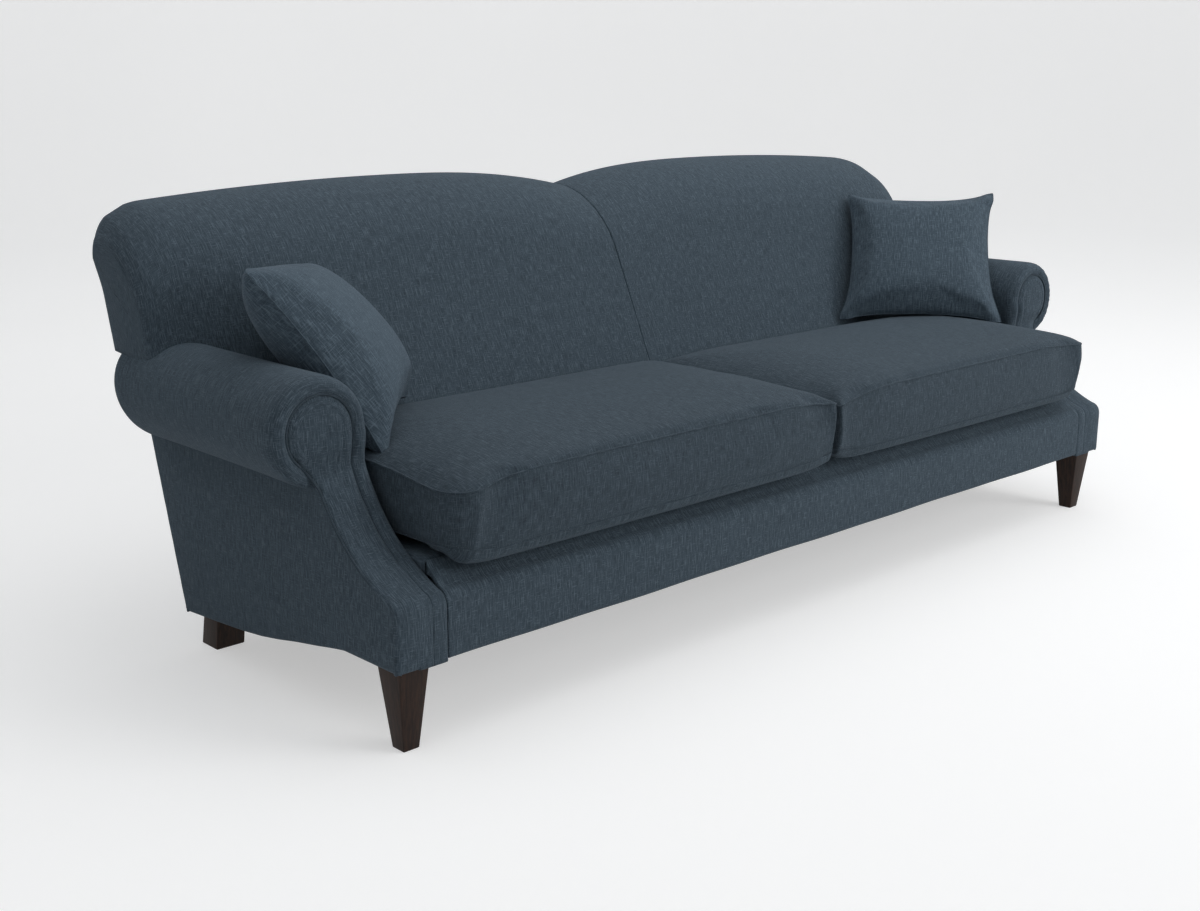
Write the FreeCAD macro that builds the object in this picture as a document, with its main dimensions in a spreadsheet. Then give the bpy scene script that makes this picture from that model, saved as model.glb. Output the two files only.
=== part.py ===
import FreeCAD, Part
import math
import os
import Sketcher
from FreeCAD import Placement, Rotation, Vector

# Roll arm sofa with a tight double-hump back, two box seat cushions and two throw pillows.
# Millimetres. X runs along the sofa, +Y to its back, +Z up, the floor is z = 0.
# The origin lies on the floor under the middle of the sofa's box.

doc = FreeCAD.newDocument("roll_arm_sofa")
sheet = doc.addObject("Spreadsheet::Sheet", "sizes")
doc.recompute()

SIZES = [
    ("depth", 976, "front of the seat cushions to the rear of the back"),
    ("base_width", 2298, "across the outside arm panels"),
    ("panel_skin", 12, "padded outside arm panel"),
    ("side_board", 20, "outer plywood side of an arm"),
    ("liner_board", 18, "inner plywood side of an arm"),
    ("arm_soft", 38, "padding inside the arm"),
    ("roll_radius", 100, "padded arm roll"),
    ("roll_overhang", 88, "roll beyond the outside panel"),
    ("roll_inward", 3, "roll inside the padded inner side"),
    ("roll_centre_height", 540, "axis of the arm roll"),
    ("roll_setback", 225, "arm front to the front of the roll"),
    ("roll_front_round", 28, "soft edge at the front of the roll"),
    ("roll_rear_round", 40, "soft edge at the rear of the roll"),
    ("roll_former_radius", 70, "wooden half-round in the roll"),
    ("roll_former_drop", 30, "flat of the half-round below the roll axis"),
    ("facing_radius", 67, "piped disc at the front of the roll"),
    ("facing_skin", 14, "padded front facing"),
    ("facing_proud", 4, "facing disc in front of the roll"),
    ("piping_diameter", 6, "cord round the arm facing"),
    ("facing_flare", 50, "where the disc's outer edge leaves for the band, degrees below level"),
    ("stump_board", 18, "board behind the facing disc"),
    ("stump_inset", 5, "stump board's round end inside the facing disc"),
    ("stump_foot", 283, "floor to the lower end of the stump board"),
    ("arm_front_height", 285, "top of the upright arm front"),
    ("arm_front_round", 22, "rounded top edge of the arm front"),
    ("cushion_overhang", 24, "seat cushion in front of the arm front"),
    ("hem_front", 158, "floor to the arm's lower front edge"),
    ("sweep_middle_setback", 121, "arm front to the middle of its sweep"),
    ("sweep_middle_height", 342, "floor to the middle of the arm's sweep"),
    ("hem_arch", 153, "floor to the hem behind the front leg"),
    ("hem_turn_height", 128, "floor to the hem where its curve turns over"),
    ("hem_middle", 97, "floor to the hem at mid depth"),
    ("hem_flat", 220, "hem's rear end to the start of its curve"),
    ("hem_turn", 405, "hem's rear end to where its curve turns over"),
    ("hem_curve_end", 540, "hem's rear end to the end of its curve"),
    ("hem_sag", 3, "bow of each half of the hem's curve"),
    ("hem_tuck", 6, "boards above the panel's hem"),
    ("hem_rear", 79, "floor to the hem at the rear"),
    ("rail_bottom", 163, "floor to the underside of the seat frame"),
    ("rail_top", 262, "floor to the top of the seat rails"),
    ("rail_thickness", 30, "seat rails"),
    ("rear_rail_step", 2, "rear seat rail behind the front face of the back frame"),
    ("rake", 15.64, "lean of the back, degrees"),
    ("back_skin", 10, "outside back board and cloth"),
    ("back_frame", 36, "thickness of the raked back frame"),
    ("post_width", 39, "width of the back and arm posts"),
    ("front_post_depth", 68, "arm's front post from front to back"),
    ("webbing_thickness", 2, "back webbing"),
    ("webbing_width", 50, "back webbing"),
    ("webbing_count", 10, "vertical straps in the back"),
    ("webbing_foot", 8, "straps above the lower edge of the lower back rail"),
    ("webbing_lap", 45, "straps over the top rail"),
    ("back_half_width", 1210, "half the width of the back above the arms"),
    ("hump_peak", 918, "floor to the top of a hump"),
    ("hump_peak_offset", 520, "sofa centre to the top of a hump"),
    ("notch_depth", 44, "centre notch below the humps"),
    ("notch_power", 2.7, "how sharply the outline drops into the notch"),
    ("shoulder_drop", 32, "hump down to its outer shoulder"),
    ("shoulder_width", 110, "rounded outer shoulder"),
    ("shoulder_depth", 70, "height of the rounded outer shoulder"),
    ("wing_bottom", 600, "floor to the lower edge of the back's ends"),
    ("face_height", 610, "height where the back's face is placed"),
    ("face_front", 152, "face of the back at that height, from the middle"),
    ("face_lean", 24.5, "lean of the back's face, degrees"),
    ("end_front", 219, "front edge of the back's end at that height"),
    ("end_lean", 13, "lean of the end's front edge, degrees"),
    ("rear_round_height", 70, "height of the rear edge under the top"),
    ("rear_round_depth", 43, "crest of the back in front of its rear edge"),
    ("end_turn_start", 960, "sofa centre to where the face turns to its ends"),
    ("end_rear_round", 60, "rear upright edge of the back's ends"),
    ("end_front_round", 22, "front upright edge of the back's ends"),
    ("top_rail_cover", 60, "padding over the top rail"),
    ("top_rail_height", 95, "shaped top rail of the back"),
    ("top_rail_short", 58, "top rail short of the back's ends"),
    ("lower_rail_bottom", 335, "floor to the lower back rail"),
    ("lower_rail_height", 60, "lower back rail"),
    ("deck_bottom", 280, "floor to the underside of the seat deck"),
    ("deck_top", 328, "floor to the top of the seat deck"),
    ("cover_return", 45, "front rail cover over the rail"),
    ("cover_skin", 18, "padding in front of the front rail"),
    ("cover_lift", 12, "front rail cover above the rail"),
    ("cushion_half_width", 1036, "outer side of a seat cushion from the centre"),
    ("cushion_welt_height", 472, "floor to the upper seam of a cushion"),
    ("cushion_crown", 28, "crown of a cushion over its upper seam"),
    ("cushion_belly", 6, "swell of the cushion front"),
    ("cushion_corner", 60, "rounded front corner of a cushion"),
    ("cushion_rear_corner", 24, "rounded rear corner of a cushion"),
    ("zip_width", 24, "zip tape behind a cushion"),
    ("zip_length", 820, "zip tape behind a cushion"),
    ("zip_thickness", 1.6, "zip tape behind a cushion"),
    ("pillow_size", 414, "corner to corner along a pillow's edge"),
    ("pillow_fill", 140, "greatest thickness of a pillow"),
    ("pillow_edge", 4, "sewn edge of a pillow"),
    ("pillow_draw", 14, "edges drawn in between a pillow's ears"),
    ("pillow_x", 947, "middle of a pillow from the sofa's centre"),
    ("pillow_y", -4, "middle of a pillow behind the sofa's middle"),
    ("pillow_z", 651, "middle of a pillow above the floor"),
    ("pillow_turn", 51, "pillow turned from the sofa's length, degrees"),
    ("pillow_lean", 38.5, "pillow leant back from upright, degrees"),
    ("front_leg_x", 1103, "front leg from the sofa's centre"),
    ("front_leg_setback", 48, "front leg's middle behind the arm front"),
    ("front_leg_top", 66, "front leg, square at its top"),
    ("front_leg_foot", 34, "front leg, square at the floor"),
    ("rear_leg_x", 1082, "back leg from the sofa's centre"),
    ("rear_leg_width", 64, "back leg across the sofa at the floor"),
    ("rear_leg_depth", 60, "back leg from front to back at the floor"),
    ("rear_leg_inset", 24, "back leg in front of the hem's rear end"),
    ("rear_leg_splay", 19, "back leg's foot behind its top"),
    ("rear_leg_top_depth", 54, "back leg from front to back at its top"),
    ("rear_leg_height", 100, "floor to the top of the back leg"),
    ("bolt_diameter", 8, "leg hanger bolt"),
    ("bolt_in_leg", 45, "hanger bolt inside the leg"),
    ("bolt_in_frame", 34, "hanger bolt inside the frame"),
    ("nut_flange", 24, "T-nut flange"),
    ("nut_flange_thickness", 2, "T-nut flange"),
    ("nut_barrel", 11, "T-nut barrel"),
    ("nut_length", 14, "T-nut from the flange to the barrel's end"),
    ("block_size", 90, "corner block along the rails"),
    ("block_height", 40, "corner block"),
    ("frame_lift", 12, "corner blocks and stretchers above the rails' underside"),
    ("screw_diameter", 5, "corner block screw"),
    ("screw_bite", 18, "screw inside a rail"),
    ("screw_sink", 4, "screw head below the block's face"),
    ("spring_count", 16, "sinuous springs across the seat"),
    ("spring_wire", 4, "sinuous spring wire"),
    ("spring_width", 50, "sinuous spring"),
    ("spring_loops", 28, "bends of one sinuous spring"),
    ("spring_end", 12, "spring's end bars from the rails' far edges"),
    ("spring_margin", 20, "outermost spring's edge inside the arm"),
    ("spring_lift", 3, "spring wire above the rails"),
    ("clip_width", 24, "spring clip"),
    ("clip_depth", 12, "spring clip"),
    ("clip_height", 10, "spring clip"),
    ("stretcher_width", 40, "seat stretcher"),
    ("stretcher_height", 70, "seat stretcher"),
    ("stretcher_x", 345, "seat stretcher from the sofa's centre"),
    ("dust_cloth", 1.5, "cloth under the frame"),
    ("back_clear", 4, "seat cushion in front of the back"),
    ("soft_gap", 0.4, "clearance round a soft piece"),
]

for row, (alias, value, note) in enumerate(SIZES, start=1):
    sheet.set("A%d" % row, note)
    sheet.set("B%d" % row, str(value))
    sheet.setAlias("B%d" % row, alias)
doc.recompute()


def size(alias):
    """The value of one cell of the sheet."""
    return float(getattr(sheet, alias))


pieces = []


def keep(piece, label):
    """Give a sub-part its own label and put it on the list of pieces."""
    piece.Label = label
    pieces.append(piece)
    return piece


def side_name(side):
    return "left" if side < 0 else "right"


# Places along the depth, from the driving sizes.
front_y = -size("depth") / 2
arm_front_y = front_y + size("cushion_overhang")
roll_front_y = arm_front_y + size("roll_setback")
rear_top_y = size("depth") / 2
rake = math.radians(size("rake"))
rear_base_y = rear_top_y - (size("hump_peak") - size("rear_round_height") - size("hem_rear")) * math.tan(rake)

# Places across the width of the right arm; the left arm is its mirror image.
arm_outer_x = size("base_width") / 2
board_outer_x = arm_outer_x - size("panel_skin")
board_inner_x = board_outer_x - size("side_board")
roll_x = arm_outer_x + size("roll_overhang") - size("roll_radius")
seat_side_x = roll_x - size("roll_radius") + size("roll_inward")
liner_x = seat_side_x + size("arm_soft")
post_x = board_inner_x - size("post_width")


def rear_y(z, depth_in=0.0):
    """The raked rear plane at a height, moved forward by a depth square to it."""
    return rear_base_y + (z - size("hem_rear")) * math.tan(rake) - depth_in / math.cos(rake)


def part_feature(label, shape, placement=Placement()):
    """A sub-part whose shape comes from Part's own functions."""
    feature = doc.addObject("Part::Feature", label)
    feature.Shape = shape
    feature.Placement = placement
    return keep(feature, label)


def polygon(points):
    """A closed wire of straight lines."""
    return Part.makePolygon([Vector(*p) for p in points] + [Vector(*points[0])])


def solid_of(shape):
    """The one solid that a boolean leaves, without seams between its faces."""
    cleaned = shape.removeSplitter()
    if len(cleaned.Solids) == 1:
        return cleaned.Solids[0]
    return cleaned


def mirrored(shape, side):
    """A right-hand shape for the right side, its mirror image for the left."""
    if side > 0:
        return shape
    return shape.mirror(Vector(0, 0, 0), Vector(1, 0, 0))


def block(x0, x1, y0, y1, z0, z1):
    """A box between two corners."""
    return Part.makeBox(x1 - x0, y1 - y0, z1 - z0, Vector(x0, y0, z0))


def arc(a, b, c):
    """An arc from a to c through b."""
    return Part.Arc(Vector(*a), Vector(*b), Vector(*c)).toShape()


def line(a, b):
    return Part.makeLine(Vector(*a), Vector(*b))


def loft(wires, ruled=False):
    """A solid through a row of closed wires."""
    shape = Part.makeLoft(wires, True, ruled)
    return shape.Solids[0]


def bound_box(label, lengths, corner):
    """A box whose sides and corner are bound to the sheet."""
    box = doc.addObject("Part::Box", label)
    for name, expression in zip(("Length", "Width", "Height"), lengths):
        box.setExpression(name, expression)
    for name, expression in zip(("x", "y", "z"), corner):
        box.setExpression("Placement.Base." + name, expression)
    return keep(box, label)


def centred_rectangle(body, name, plane_role, width, height):
    """A sketch of a rectangle about its plane's centre, bound to the sheet."""
    sketch = body.newObject("Sketcher::SketchObject", name)
    plane = [o for o in body.Origin.OriginFeatures if o.Role == plane_role][0]
    sketch.AttachmentSupport = (plane, [""])
    sketch.MapMode = "FlatFace"
    corners = [Vector(-10, -10, 0), Vector(10, -10, 0), Vector(10, 10, 0), Vector(-10, 10, 0)]
    for i in range(4):
        sketch.addGeometry(Part.LineSegment(corners[i], corners[(i + 1) % 4]), False)
    for i in range(4):
        sketch.addConstraint(Sketcher.Constraint("Coincident", i, 2, (i + 1) % 4, 1))
    for i in (0, 2):
        sketch.addConstraint(Sketcher.Constraint("Horizontal", i))
        sketch.addConstraint(Sketcher.Constraint("Vertical", i + 1))
    sketch.addConstraint(Sketcher.Constraint("Symmetric", 0, 1, 2, 1, -1, 1))
    across = sketch.addConstraint(Sketcher.Constraint("DistanceX", 0, 1, 0, 2, 20))
    sketch.setExpression("Constraints[%d]" % across, width)
    along = sketch.addConstraint(Sketcher.Constraint("DistanceY", 1, 1, 1, 2, 20))
    sketch.setExpression("Constraints[%d]" % along, height)
    return sketch


def lofted_leg(label, foot, top, height, middle, shift):
    """A leg as a loft from a foot sketch to a top sketch that is shifted back."""
    body = doc.addObject("PartDesign::Body", label)
    foot_sketch = centred_rectangle(body, label + "_foot", "XY_Plane", *foot)
    top_sketch = centred_rectangle(body, label + "_top", "XY_Plane", *top)
    top_sketch.setExpression("AttachmentOffset.Base.z", height)
    top_sketch.setExpression("AttachmentOffset.Base.y", shift)
    solid = body.newObject("PartDesign::AdditiveLoft", label + "_loft")
    solid.Profile = foot_sketch
    solid.Sections = [top_sketch]
    solid.Ruled = True
    body.Tip = solid
    body.setExpression("Placement.Base.x", middle[0])
    body.setExpression("Placement.Base.y", middle[1])
    foot_sketch.Visibility = False
    return body


FRONT_LEG_Y = "-sizes.depth / 2 + sizes.cushion_overhang + sizes.front_leg_setback"
REAR_BASE = "sizes.depth / 2 - (sizes.hump_peak - sizes.rear_round_height - sizes.hem_rear) * tan(sizes.rake * 1 deg)"
REAR_LEG_Y = REAR_BASE + " - sizes.rear_leg_inset"
POST_MIDDLE = "(sizes.base_width / 2 - sizes.panel_skin - sizes.side_board - sizes.post_width / 2)"


def leg_pilot(body, label, height, aside):
    """The pilot hole for the hanger bolt, down from the leg's top."""
    sketch = body.newObject("Sketcher::SketchObject", label + "_pilot_circle")
    plane = [o for o in body.Origin.OriginFeatures if o.Role == "XY_Plane"][0]
    sketch.AttachmentSupport = (plane, [""])
    sketch.MapMode = "FlatFace"
    sketch.setExpression("AttachmentOffset.Base.z", height)
    sketch.setExpression("AttachmentOffset.Base.x", aside)
    sketch.addGeometry(Part.Circle(Vector(0, 0, 0), Vector(0, 0, 1), 4), False)
    sketch.addConstraint(Sketcher.Constraint("Coincident", 0, 3, -1, 1))
    rim = sketch.addConstraint(Sketcher.Constraint("Radius", 0, 4))
    sketch.setExpression("Constraints[%d]" % rim, "sizes.bolt_diameter / 2")
    pocket = body.newObject("PartDesign::Pocket", label + "_pilot")
    pocket.Profile = sketch
    pocket.setExpression("Length", "sizes.bolt_in_leg")
    body.Tip = pocket
    sketch.Visibility = False


def legs():
    """Four tapered hardwood legs: square at the front, raked at the back."""
    for side in (-1, 1):
        label = "front_leg_" + side_name(side)
        body = lofted_leg(
            label,
            ("sizes.front_leg_foot", "sizes.front_leg_foot"),
            ("sizes.front_leg_top", "sizes.front_leg_top"),
            "sizes.rail_bottom",
            ("%d * sizes.front_leg_x" % side, FRONT_LEG_Y),
            "0 * sizes.rail_bottom",
        )
        leg_pilot(body, label, "sizes.rail_bottom", "0 * sizes.front_leg_x")
        keep(body, label)
        label = "back_leg_" + side_name(side)
        body = lofted_leg(
            label,
            ("sizes.rear_leg_width", "sizes.rear_leg_depth"),
            ("sizes.rear_leg_width", "sizes.rear_leg_top_depth"),
            "sizes.rear_leg_height",
            ("%d * sizes.rear_leg_x" % side, REAR_LEG_Y),
            "-sizes.rear_leg_splay",
        )
        leg_pilot(body, label, "sizes.rear_leg_height", "%d * (%s - sizes.rear_leg_x)" % (side, POST_MIDDLE))
        keep(body, label)


# The outline of an arm seen from the side, in Y and Z.

def sweep_points(inset=0.0):
    """Upper front corner, middle and top of the arm's front sweep."""
    low = (arm_front_y + size("arm_front_round") + inset, size("arm_front_height") - inset)
    middle = (arm_front_y + size("sweep_middle_setback") + inset, size("sweep_middle_height") - inset)
    high = (roll_front_y + inset, neck_z() - inset)
    return low, middle, high


def neck_z():
    """Height where the upright facing disc turns into the front sweep."""
    return size("roll_centre_height") - size("facing_radius")


def corner_arc(inset=0.0):
    """The rounded top edge of the upright arm front."""
    radius = size("arm_front_round")
    turn = radius * (1 - math.cos(math.radians(45)))
    start = (arm_front_y + inset, size("arm_front_height") - radius - inset)
    middle = (arm_front_y + turn + inset, size("arm_front_height") - turn - inset)
    end = (arm_front_y + radius + inset, size("arm_front_height") - inset)
    return start, middle, end


def front_curve(x, inset, bottom):
    """Edges from the lower front edge of an arm up to the roll's front."""
    start, middle, end = corner_arc(inset)
    low, sweep, high = sweep_points(inset)
    return [
        line((x, arm_front_y + inset, bottom), (x,) + start),
        arc((x,) + start, (x,) + middle, (x,) + end),
        arc((x,) + low, (x,) + sweep, (x,) + high),
    ]


def bowed(a, b, sag):
    """The middle of an arc between two points of the same X, bowed up by a sag."""
    along = Vector(*b) - Vector(*a)
    square = Vector(0, -along.z, along.y)
    if square.z < 0:
        square = -square
    middle = (Vector(*a) + Vector(*b)) / 2 + square.normalize() * sag
    return tuple(middle)


def hem_edges(x, inset, front_inset):
    """The scalloped lower edge from the rear to the front of an arm."""
    rear_end = rear_y(size("hem_rear"), size("back_skin"))
    rear = (x, rear_end, size("hem_rear") + inset)
    dip = (x, rear_end - size("hem_flat"), size("hem_middle") + inset)
    turn = (x, rear_end - size("hem_turn"), size("hem_turn_height") + inset)
    arch = (x, rear_end - size("hem_curve_end"), size("hem_arch") + inset)
    front = (x, arm_front_y + front_inset, size("hem_front") + inset)
    return rear, [
        line(rear, dip),
        arc(dip, bowed(dip, turn, -size("hem_sag")), turn),
        arc(turn, bowed(turn, arch, size("hem_sag")), arch),
        line(arch, front),
    ]


def arm_side_face(x, inset, hem_inset, top):
    """The side outline of an arm as a face at x."""
    rear, edges = hem_edges(x, hem_inset, inset)
    edges += front_curve(x, inset, size("hem_front") + hem_inset)
    high = (x,) + sweep_points(inset)[2]
    up_front = (x, high[1], top)
    up_rear = (x, rear_y(top, size("back_skin")), top)
    edges += [line(high, up_front)] if abs(top - high[2]) > 0.01 else []
    edges += [line(up_front, up_rear), line(up_rear, rear)]
    return Part.Face(Part.Wire(Part.__sortEdges__(edges)))


def roll_cylinder(radius, y0, y1):
    """A round bar along the axis of the right arm's roll."""
    return Part.makeCylinder(radius, y1 - y0, Vector(roll_x, y0, size("roll_centre_height")), Vector(0, 1, 0))


def rear_cutter(depth_in, z0=0.0, z1=1200.0, half=1400.0):
    """Everything behind the raked plane that lies depth_in inside the rear."""
    near = rear_y(z0, depth_in)
    far = rear_y(z1, depth_in)
    face = Part.Face(polygon([(-half, near, z0), (-half, far, z1), (-half, far + 600, z1), (-half, near + 600, z0)]))
    return face.extrude(Vector(2 * half, 0, 0))


def stump_shape():
    """The board behind the facing disc, with its neck between the arm boards."""
    y0 = roll_front_y + size("facing_skin") - size("facing_proud")
    disc = roll_cylinder(size("facing_radius") - size("stump_inset"), y0, y0 + size("stump_board"))
    neck = block(post_x, board_inner_x, y0, y0 + size("stump_board"), size("stump_foot"), size("roll_centre_height"))
    return solid_of(disc.fuse(neck).cut(facing_shape()))


def former_shape():
    """The half-round that carries the roll's padding."""
    y0 = roll_front_y + size("facing_skin") - size("facing_proud") + size("stump_board")
    bar = roll_cylinder(size("roll_former_radius"), y0, rear_top_y)
    flat = size("roll_centre_height") - size("roll_former_drop")
    under = block(roll_x - 200, roll_x + 200, y0 - 1, rear_top_y + 1, flat - 200, flat)
    cut = bar.cut(under).cut(rear_cutter(size("back_skin") + size("back_frame")))
    return solid_of(cut)


def board_top():
    return size("roll_centre_height") - size("roll_former_drop")


def outer_board_shape():
    """The plywood outer side of an arm, from the hem up to the half-round."""
    face = arm_side_face(board_inner_x, size("facing_skin"), size("hem_tuck"), board_top())
    board = face.extrude(Vector(size("side_board"), 0, 0))
    return solid_of(board.cut(stump_shape()).cut(back_leg_room()).cut(front_leg_room()))


def back_leg_room():
    """The notch that lets the back leg's top pass inside the boards."""
    y = leg_y_rear()
    reach = size("rear_leg_depth")
    return block(size("rear_leg_x") - reach, board_inner_x + 1, y - reach, y + 2 * reach, 0, size("rear_leg_height"))


def front_leg_room():
    """The step that seats the front leg's top under the boards."""
    return block(post_x, board_inner_x + size("side_board") + 1, arm_front_y, arm_front_y + size("facing_skin")
                 + size("front_post_depth"), 0, size("rail_bottom"))


def leg_y_front():
    return arm_front_y + size("front_leg_setback")


def leg_y_rear():
    return rear_base_y - size("rear_leg_inset")


def post_shape():
    """The raked back post of the right side."""
    z0 = size("rear_leg_height")
    z1 = post_top()
    n1 = size("back_skin")
    n0 = size("back_skin") + size("back_frame")
    face = Part.Face(polygon([
        (post_x, rear_y(z0, n0), z0),
        (post_x, rear_y(z0, n1), z0),
        (post_x, rear_y(z1, n1), z1),
        (post_x, rear_y(z1, n0), z1),
    ]))
    return solid_of(face.extrude(Vector(size("post_width"), 0, 0)).cut(rear_bolt_shape(1)))


def post_top():
    """The posts end under the shaped top rail."""
    return size("hump_peak") - size("shoulder_drop") - size("top_rail_cover") - size("top_rail_height")


def liner_board_shape():
    """The plywood inner side of an arm, between the front post and the back post."""
    y0 = arm_front_y + size("facing_skin") + size("front_post_depth")
    face = arm_side_face(liner_x, size("facing_skin"), size("hem_tuck"), board_top())
    board = face.extrude(Vector(size("liner_board"), 0, 0))
    board = board.cut(block(0, board_inner_x, front_y, y0, 0, size("sweep_middle_height")))
    board = board.cut(block(0, board_inner_x, front_y, rear_top_y, 0, size("rail_bottom")))
    return solid_of(board.cut(rear_cutter(size("back_skin") + size("back_frame"))).cut(stump_shape()))


def front_post_shape():
    """The block between the arm boards that the front leg is bolted to."""
    y0 = arm_front_y + size("facing_skin")
    post = block(post_x, board_inner_x, y0, y0 + size("front_post_depth"), size("rail_bottom"),
                 size("arm_front_height") - size("facing_skin") - size("arm_front_round"))
    return solid_of(post.cut(nut_blank(1)).cut(bolt_shape(1)))


def arm_wood_shape():
    """All the wood that the arm's padding goes round."""
    wood = outer_board_shape()
    for shape in (liner_board_shape(), stump_shape(), former_shape(), post_shape(), front_post_shape()):
        wood = wood.fuse(shape)
    return wood


def facing_shape():
    """The keyhole front facing: piped disc, neck, sweep and upright arm front."""
    inset = size("facing_skin")
    x0 = liner_x
    x1 = arm_outer_x
    outer = front_curve(x0, 0.0, size("hem_front"))
    inner = front_curve(x0, inset, size("hem_front"))
    high_out = (x0,) + sweep_points(0.0)[2]
    high_in = (x0,) + sweep_points(inset)[2]
    edges = outer + inner + [
        line(high_out, high_in),
        line((x0, arm_front_y, size("hem_front")), (x0, arm_front_y + inset, size("hem_front"))),
    ]
    band = Part.Face(Part.Wire(Part.__sortEdges__(edges))).extrude(Vector(x1 - x0, 0, 0))
    y0 = roll_front_y - size("facing_proud")
    disc = roll_cylinder(size("facing_radius"), y0, y0 + inset)
    flare = math.radians(size("facing_flare"))
    side_x = roll_x + size("facing_radius") * math.cos(flare)
    side_z = size("roll_centre_height") - size("facing_radius") * math.sin(flare)
    neck = Part.Face(polygon([
        (x0, y0, neck_z() - inset),
        (x1, y0, neck_z() - inset),
        (side_x, y0, side_z),
        (roll_x, y0, size("roll_centre_height")),
        (x0, y0, size("roll_centre_height")),
    ])).extrude(Vector(0, inset, 0))
    return solid_of(band.fuse(disc).fuse(neck))


def piping_shape():
    """The cord round the facing disc and down its outer edge."""
    r = size("facing_radius") + size("piping_diameter") / 2
    y = roll_front_y - size("facing_proud") + 1
    zc = size("roll_centre_height")

    def on_ring(angle):
        a = math.radians(angle)
        return (roll_x + r * math.cos(a), y, zc + r * math.sin(a))

    path = Part.Wire([arc(on_ring(200), on_ring(80), on_ring(-40))])
    section = Part.Wire(Part.makeCircle(size("piping_diameter") / 2, Vector(*on_ring(200)), Vector(
        math.sin(math.radians(200)), 0, -math.cos(math.radians(200)))))
    return path.makePipeShell([section], True, False).Solids[0]


def arm_pad_shape():
    """The padded roll and the padded inner side of an arm."""
    roll = roll_cylinder(size("roll_radius"), roll_front_y, rear_top_y)
    roll = solid_of(roll.cut(rear_cutter(size("back_skin") + size("soft_gap"))))
    front_edges = [e for e in roll.Edges if abs(e.BoundBox.YMax - roll_front_y) < 0.01]
    roll = roll.makeFillet(size("roll_front_round"), front_edges)
    rear_edges = [e for e in roll.Edges
                  if e.BoundBox.YLength > 20 and e.BoundBox.ZLength > 1.5 * size("roll_radius")]
    roll = roll.makeFillet(size("roll_rear_round"), rear_edges)
    thickness = liner_x - seat_side_x
    side_face = arm_side_face(seat_side_x, 0.0, size("hem_tuck"), size("roll_centre_height"))
    side = side_face.extrude(Vector(thickness, 0, 0))
    side = side.cut(rear_cutter(size("back_skin") + size("back_frame")))
    side = side.cut(block(0, liner_x, front_rail_y, front_rail_y + size("rail_thickness"), 0, size("rail_top")))
    skin_y = arm_front_y + size("cover_skin")
    return_y = skin_y + size("cover_return")
    side = side.cut(block(0, roll_x, skin_y, rear_top_y, 0, size("arm_front_height") - size("cover_skin")))
    side = side.cut(block(0, roll_x, return_y, rear_top_y, 0, size("deck_bottom")))
    pad = roll.fuse(side).cut(arm_wood_shape())
    pad = pad.cut(facing_shape()).cut(piping_shape())
    pad = pad.cut(outside_arm_shape())
    solids = sorted(pad.Solids, key=lambda s: s.Volume)
    return solids[-1]


def outside_arm_shape():
    """The padded outside panel with its scalloped hem."""
    top = size("roll_centre_height") - size("roll_radius") - size("soft_gap")
    face = arm_side_face(board_outer_x, size("facing_skin"), 0, top)
    return solid_of(face.extrude(Vector(size("panel_skin"), 0, 0)))


def arms():
    """Each arm: two plywood sides, posts, half-round, padding, facing, piping and outside panel."""
    for side in (-1, 1):
        name = side_name(side)
        part_feature("arm_outer_board_" + name, mirrored(outer_board_shape(), side))
        part_feature("arm_liner_board_" + name, mirrored(liner_board_shape(), side))
        part_feature("arm_front_post_" + name, mirrored(front_post_shape(), side))
        part_feature("arm_stump_board_" + name, mirrored(stump_shape(), side))
        part_feature("arm_roll_former_" + name, mirrored(former_shape(), side))
        part_feature("arm_pad_" + name, mirrored(arm_pad_shape(), side))
        part_feature("arm_facing_" + name, mirrored(facing_shape(), side))
        part_feature("arm_piping_" + name, mirrored(piping_shape(), side))
        part_feature("outside_arm_" + name, mirrored(outside_arm_shape(), side))


# The seat frame and the back frame.

REAR_FRAME = REAR_BASE + " + (sizes.rail_bottom - sizes.hem_rear) * tan(sizes.rake * 1 deg)"
FRONT_RAIL_Y = "-sizes.depth / 2 + sizes.cushion_overhang + sizes.cover_skin"
REAR_FACE = "(sizes.back_skin + sizes.back_frame) / cos(sizes.rake * 1 deg)"
REAR_RAIL_Y = REAR_FRAME + " - " + REAR_FACE + " + sizes.rear_rail_step"
LINER_X = "(sizes.base_width / 2 + sizes.roll_overhang - 2 * sizes.roll_radius + sizes.roll_inward + sizes.arm_soft)"
RAIL_HEIGHT = "sizes.rail_top - sizes.rail_bottom"

front_rail_y = arm_front_y + size("cover_skin")
rear_rail_y = rear_y(size("rail_bottom"), size("back_skin") + size("back_frame")) + size("rear_rail_step")


def raked_block(x0, x1, z0, z1, n0, n1):
    """A block in the raked frame: n is the depth inside the rear plane."""
    face = Part.Face(polygon([
        (x0, rear_y(z0, n1), z0),
        (x0, rear_y(z0, n0), z0),
        (x0, rear_y(z1, n0), z1),
        (x0, rear_y(z1, n1), z1),
    ]))
    return face.extrude(Vector(x1 - x0, 0, 0))


def top_height(x, inset=0.0):
    """Height of the back's double-hump outline over a point of its width."""
    away = abs(x)
    crest = size("hump_peak_offset")
    if away < crest:
        z = size("hump_peak") - size("notch_depth") * ((crest - away) / crest) ** size("notch_power")
    else:
        reach = size("back_half_width") - crest
        z = size("hump_peak") - size("shoulder_drop") * ((away - crest) / reach) ** 2
    start = size("back_half_width") - size("shoulder_width")
    if away > start:
        turn = min(1.0, (away - start) / size("shoulder_width"))
        z -= size("shoulder_depth") * (1 - math.sqrt(max(0.0, 1 - turn * turn)))
    return z - inset


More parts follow.
